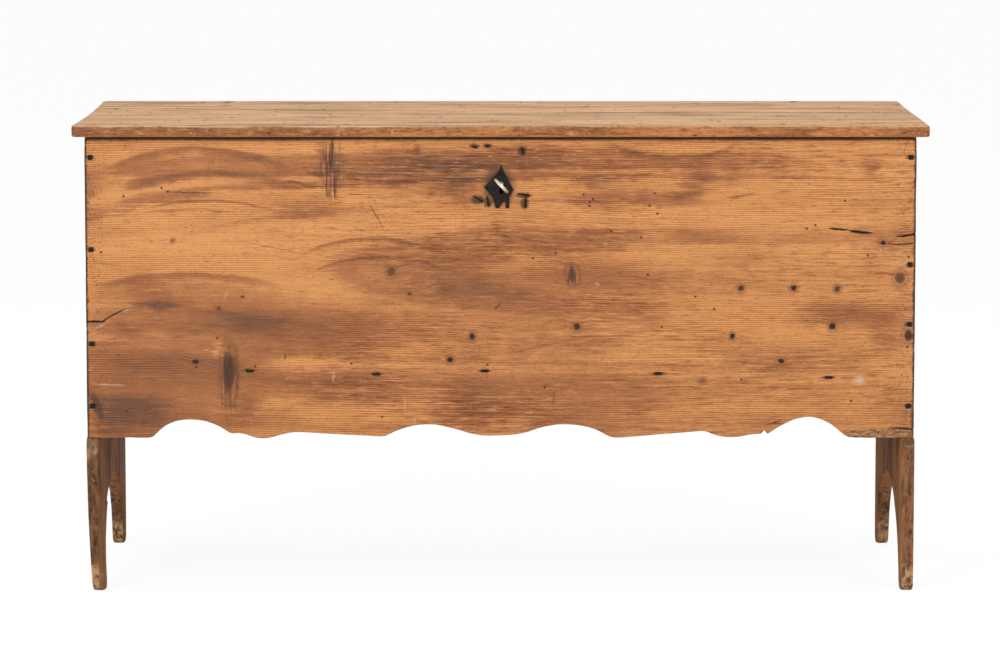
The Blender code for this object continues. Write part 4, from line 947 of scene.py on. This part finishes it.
def front_board(material):
    """The front, with its scalloped edge chipped, its cracks open and its keyhole cut through."""
    loops = loops_on("front_board", 1, FRONT)
    outline = softened(dense(flat(loops[0], 0, 2), 4 * MM), 2)
    rounded = softened(outline, 7)
    chipped = []
    for point, round_point in zip(outline, rounded):
        lift = 0.0
        if point.y < LOWER_EDGE:
            lift = max(0.0, 1 - abs(point.x - NOTCH_X) / NOTCH_HALF) * NOTCH_DEEP
            if point.x > GNAWED_FROM:
                lift += max(0.0, noise.noise(Vector((point.x * 95, 2.7, 0.0))) + 0.1) * GNAWED_DEEP
        chipped.append((round_point if point.y > UPPER_CORNERS else point) + Vector((0, lift)))
    thick = FRONT_BACK - FRONT
    shape = worn_plate(chipped, lambda u, v, w: (u, FRONT + w, v), thick, 1.9 * MM, 2.0, 0.9 * MM)
    board = add_piece("worn_front_board", shape, material, "front_board", 50)
    holes = bmesh.new()
    keyhole = max(loops[1:], key=lambda line: max(p.z for p in line) - min(p.z for p in line))
    prism(holes, flat(keyhole, 0, 2), FRONT - 2 * MM, FRONT_BACK + 2 * MM)
    for depth, *line in CRACKS:
        prism(holes, crack_outline(line), FRONT - 2 * MM, FRONT + depth * MM, 0.94)
    cut(board, holes)
    return board


def back_board(material):
    """The back, a plain worn board."""
    outline = softened(dense(flat(loops_on("back_board", 1, BACK)[0], 0, 2), 6 * MM), 2)
    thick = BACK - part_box("back_board")[0].y
    shape = worn_plate(outline, lambda u, v, w: (u, BACK - w, v), thick, 1.8 * MM, 5.0, 0.7 * MM)
    return add_piece("worn_back_board", shape, material, "back_board", 50)


def end_board(side, sign, material, seed):
    """An end board with worn legs. The left front leg is bowed in at its foot."""
    node = f"{side}_end_board"
    low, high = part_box(node)
    outer = low.x if sign < 0 else high.x
    outline = softened(dense(flat(loops_on(node, 0, outer)[0], 1, 2), 4 * MM), 2)
    outline = [worn if point.y < FOOT_WORN else point for point, worn in zip(outline, softened(outline, 5))]

    # Only the left board's front leg bows, and the soles stay on the floor
    def to_world(u, v, w):
        x = outer - sign * w
        if sign < 0 and u < -0.1 and v < APRON:
            x += LEG_BOW * ((APRON - v) / APRON) ** LEG_BOW_POWER
        drop = max(0.0, 1 - v / FOOT_ROUGH)
        return (x, u, v + 0.6 * MM * drop * noise.noise(Vector((u * 90, w * 90, seed))) * (v > 0.002))

    shape = worn_plate(outline, to_world, high.x - low.x, 2.2 * MM, seed, 1.3 * MM, FOOT_WORN)
    return add_piece(f"worn_{side}_end_board", shape, material, node, 50)


def lid_section(x, end):
    """A slice across the lid, over the top from front to back. End is the way to the lid's nearer end."""
    plan = LID_CORNER - math.sqrt(max(0.0, LID_CORNER**2 - max(0.0, LID_CORNER - end) ** 2))
    thin = LID_EDGE - math.sqrt(max(0.0, LID_EDGE**2 - max(0.0, LID_EDGE - end) ** 2))
    front = LID_LOW.y + plan + 0.8 * MM * max(0.0, noise.noise(Vector((x * 14, 1.5, 0.3))))
    back = LID_HIGH.y - plan * (1.5 if x > 0 else 1.2)
    low, high = LID_LOW.z + thin, LID_HIGH.z - thin
    hollows = noise.noise(Vector((x * 8, 6.6, 0.0))) + 0.35 * noise.noise(Vector((x * 45, 3.3, 0.0)))
    sunk = 1.6 * MM * max(0.0, hollows)
    worn = noise.noise(Vector((x * 17, 4.1, 0.0))) + 0.6 * noise.noise(Vector((x * 60, 8.3, 0.0)))
    top_round = LID_EDGE * max(0.5, 1.25 + 0.95 * worn)
    dent = math.exp(-((x - LID_DENT_X) / LID_DENT_HALF) ** 2) * LID_DENT_DEEP
    section = [(front + 2.0 * MM, low), (front + 0.6 * MM, low + 0.6 * MM), (front, low + 2.0 * MM)]
    section += [(front + dent, low + 4.5 * MM), (front + dent * 0.6, low + 7.5 * MM)]
    for share in (0.0, 0.35, 0.7, 1.0):
        angle = share * math.pi / 2
        y, drop = front + top_round * (1 - math.cos(angle)), top_round * (1 - math.sin(angle))
        section.append((y, high - sunk - drop))
    for share in (0.08, 0.2, 0.35, 0.5, 0.65, 0.8, 0.9):
        y = front + (back - front) * share
        wave = 0.5 * MM * noise.noise(Vector((x * 5, y * 9, 2.2)))
        rise = max(0.0, share - LID_CUP_FROM) / (1 - LID_CUP_FROM)
        section.append((y, high + wave + LID_CUP * rise**2))
    for share in (0.0, 0.4, 0.75, 1.0):
        angle = share * math.pi / 2
        y = back - LID_EDGE + LID_EDGE * math.sin(angle)
        section.append((y, high + LID_CUP - LID_EDGE * (1 - math.cos(angle))))
    section += [(back, low + 3.0 * MM), (back - 0.8 * MM, low + 0.8 * MM), (back - 3.0 * MM, low)]
    return section


def lid_board(material):
    """The lid, swept along its length: uneven worn edges, round corners and a slight cup at the back."""
    half, deep = LID_HIGH.x, LID_HIGH.y - LID_LOW.y
    runs = [run * MM for run in (0.0, 0.5, 1.2, 2.2, 3.6, 5.5, 8.0, 11.0, 14.0)]
    inner = [runs[-1] + 2 * (half - runs[-1]) * step / LID_STEPS for step in range(1, LID_STEPS)]
    stations = runs + inner + [2 * half - run for run in reversed(runs)]
    shape = bmesh.new()
    rings = []
    for run in stations:
        x = run - half
        end = min(run, 2 * half - run)
        near_end = max(0.0, 1 - end / LID_END_RUN)
        hollow = near_end * (1.2 if x < 0 else 2.0) * MM
        drawn = near_end * LID_DRAWN * (1 if x < 0 else -1)
        ring = []
        for y, z in lid_section(x, end):
            share = min(1.0, max(0.0, (y - LID_LOW.y) / deep))
            ring.append(shape.verts.new((x + hollow * math.sin(math.pi * share) + drawn * share, y, z)))
        rings.append(ring)
    bridged(shape, rings)
    shape.faces.new(rings[0])
    shape.faces.new(list(reversed(rings[-1])))
    bmesh.ops.recalc_face_normals(shape, faces=shape.faces)
    board = add_piece("worn_lid_board", shape, material, "lid_board", 50)
    grooves = bmesh.new()
    for loop in loops_on("lid_board", 2, LID_HIGH.z)[1:]:
        prism(grooves, flat(loop, 0, 1), LID_HIGH.z + 12 * MM, LID_HIGH.z - 5.0 * MM, 1.0, through_lid)
    cut(board, grooves)
    return board


def iron_piece(node, material, bevel):
    """A CAD iron piece with its corners rubbed."""
    piece = add_piece("worn_" + node, cleaned(node), material, node, 35)
    rubbed = piece.modifiers.new("rubbed corners", "BEVEL")
    rubbed.width = bevel
    rubbed.segments = 2
    rubbed.limit_method = "ANGLE"
    rubbed.angle_limit = math.radians(40)
    return piece


def shown_rays(paint):
    """1 for what the camera sees straight, in a mirror-like surface or through glass."""
    camera, glossy, passed = [
        paint.make("LightPath", {}, out=ray)
        for ray in ("Is Camera Ray", "Is Glossy Ray", "Is Transmission Ray")
    ]
    return camera.most(glossy).most(passed)


def floor():
    """A white floor that keeps a faint shadow."""
    shape = bmesh.new()
    bmesh.ops.create_grid(shape, x_segments=1, y_segments=1, size=30)
    ground = shaped("floor", shape)
    paint = new_paint("white_floor")
    ground.data.materials.append(paint.owner)
    matt = paint.make("BsdfDiffuse", {"Color": rgb(0.8, 0.8, 0.8)})
    pale = paint.make("BsdfDiffuse", {"Color": rgb(0.2, 0.2, 0.2)})
    glow = paint.make("Emission", {"Color": rgb(1, 1, 1), "Strength": FLOOR_GLOW})
    white = paint.make("AddShader", [pale, glow])
    shown = paint.make("MixShader", [shown_rays(paint), matt, white])
    paint.feed(paint.nodes["Material Output"].inputs["Surface"], shown)


def sky():
    """Soft light from all round, seen as plain white."""
    paint = Paint(bpy.data.worlds.new("studio"))
    bpy.context.scene.world = paint.owner
    soft = paint.make("Background", {"Color": rgb(1, 1, 1), "Strength": WORLD_LIGHT})
    white = paint.make("Background", {"Color": rgb(1, 1, 1), "Strength": 1.0})
    shown = paint.make("MixShader", [shown_rays(paint), soft, white])
    paint.feed(paint.nodes["World Output"].inputs["Surface"], shown)


def lamps():
    """Soft round lamps, brighter from the left."""
    for name, place, size, power in LAMPS:
        light = bpy.data.lights.new(name, "AREA")
        light.shape = "DISK"
        light.size = size
        light.energy = power
        lamp = linked(name, light)
        lamp.location = place
        lamp.rotation_mode = "QUATERNION"
        lamp.rotation_quaternion = (LAMP_AIM - Vector(place)).to_track_quat("-Z", "Y")


def camera():
    """The photo's camera, level from side to side."""
    lens = bpy.data.cameras.new("camera")
    lens.sensor_width = 36
    lens.lens = CAMERA_LENS
    eye = linked("camera", lens)
    eye.location = (CAMERA_X, FRONT - CAMERA_AWAY, CAMERA_HEIGHT)
    eye.rotation_euler = (math.radians(90 - CAMERA_PITCH), 0, 0)
    bpy.context.scene.camera = eye
    bpy.context.scene.view_settings.view_transform = "Standard"


def build():
    """Makes the pieces, the studio and the camera."""
    ends, iron = end_pine(), black_iron()
    bottom = plain_pine("bottom_pine", 53.0, False)
    front_board(front_pine())
    lid_board(lid_pine())
    end_board("left", -1, ends, 12.0)
    end_board("right", 1, ends, 31.0)
    back_board(plain_pine("back_pine", 41.0, True))
    iron_piece("key", bright_key(), KEY_RUB)
    for node in ("escutcheon", "lock_plate", "lock_cover", "lock_bolt"):
        iron_piece(node, iron, IRON_RUB)
    for node in NODES:
        if node.startswith(("front_left_nail", "front_right_nail")):
            iron_piece(node, iron, NAIL_RUB)
    for side in ("left", "right"):
        for part in ("case", "lid"):
            node = f"{side}_hinge_{part}_eye"
            add_piece(f"worn_{side}_{part}_eye", cleaned(node), iron, node, 60)
    add_piece("worn_lock_staple", cleaned("lock_staple"), iron, "lock_staple", 50)
    for name, node in NODES.items():
        if not node.hide_render:
            node.data.materials.clear()
            node.data.materials.append(bottom if name == "bottom_board" else iron)
    floor()
    sky()
    lamps()
    camera()


build()
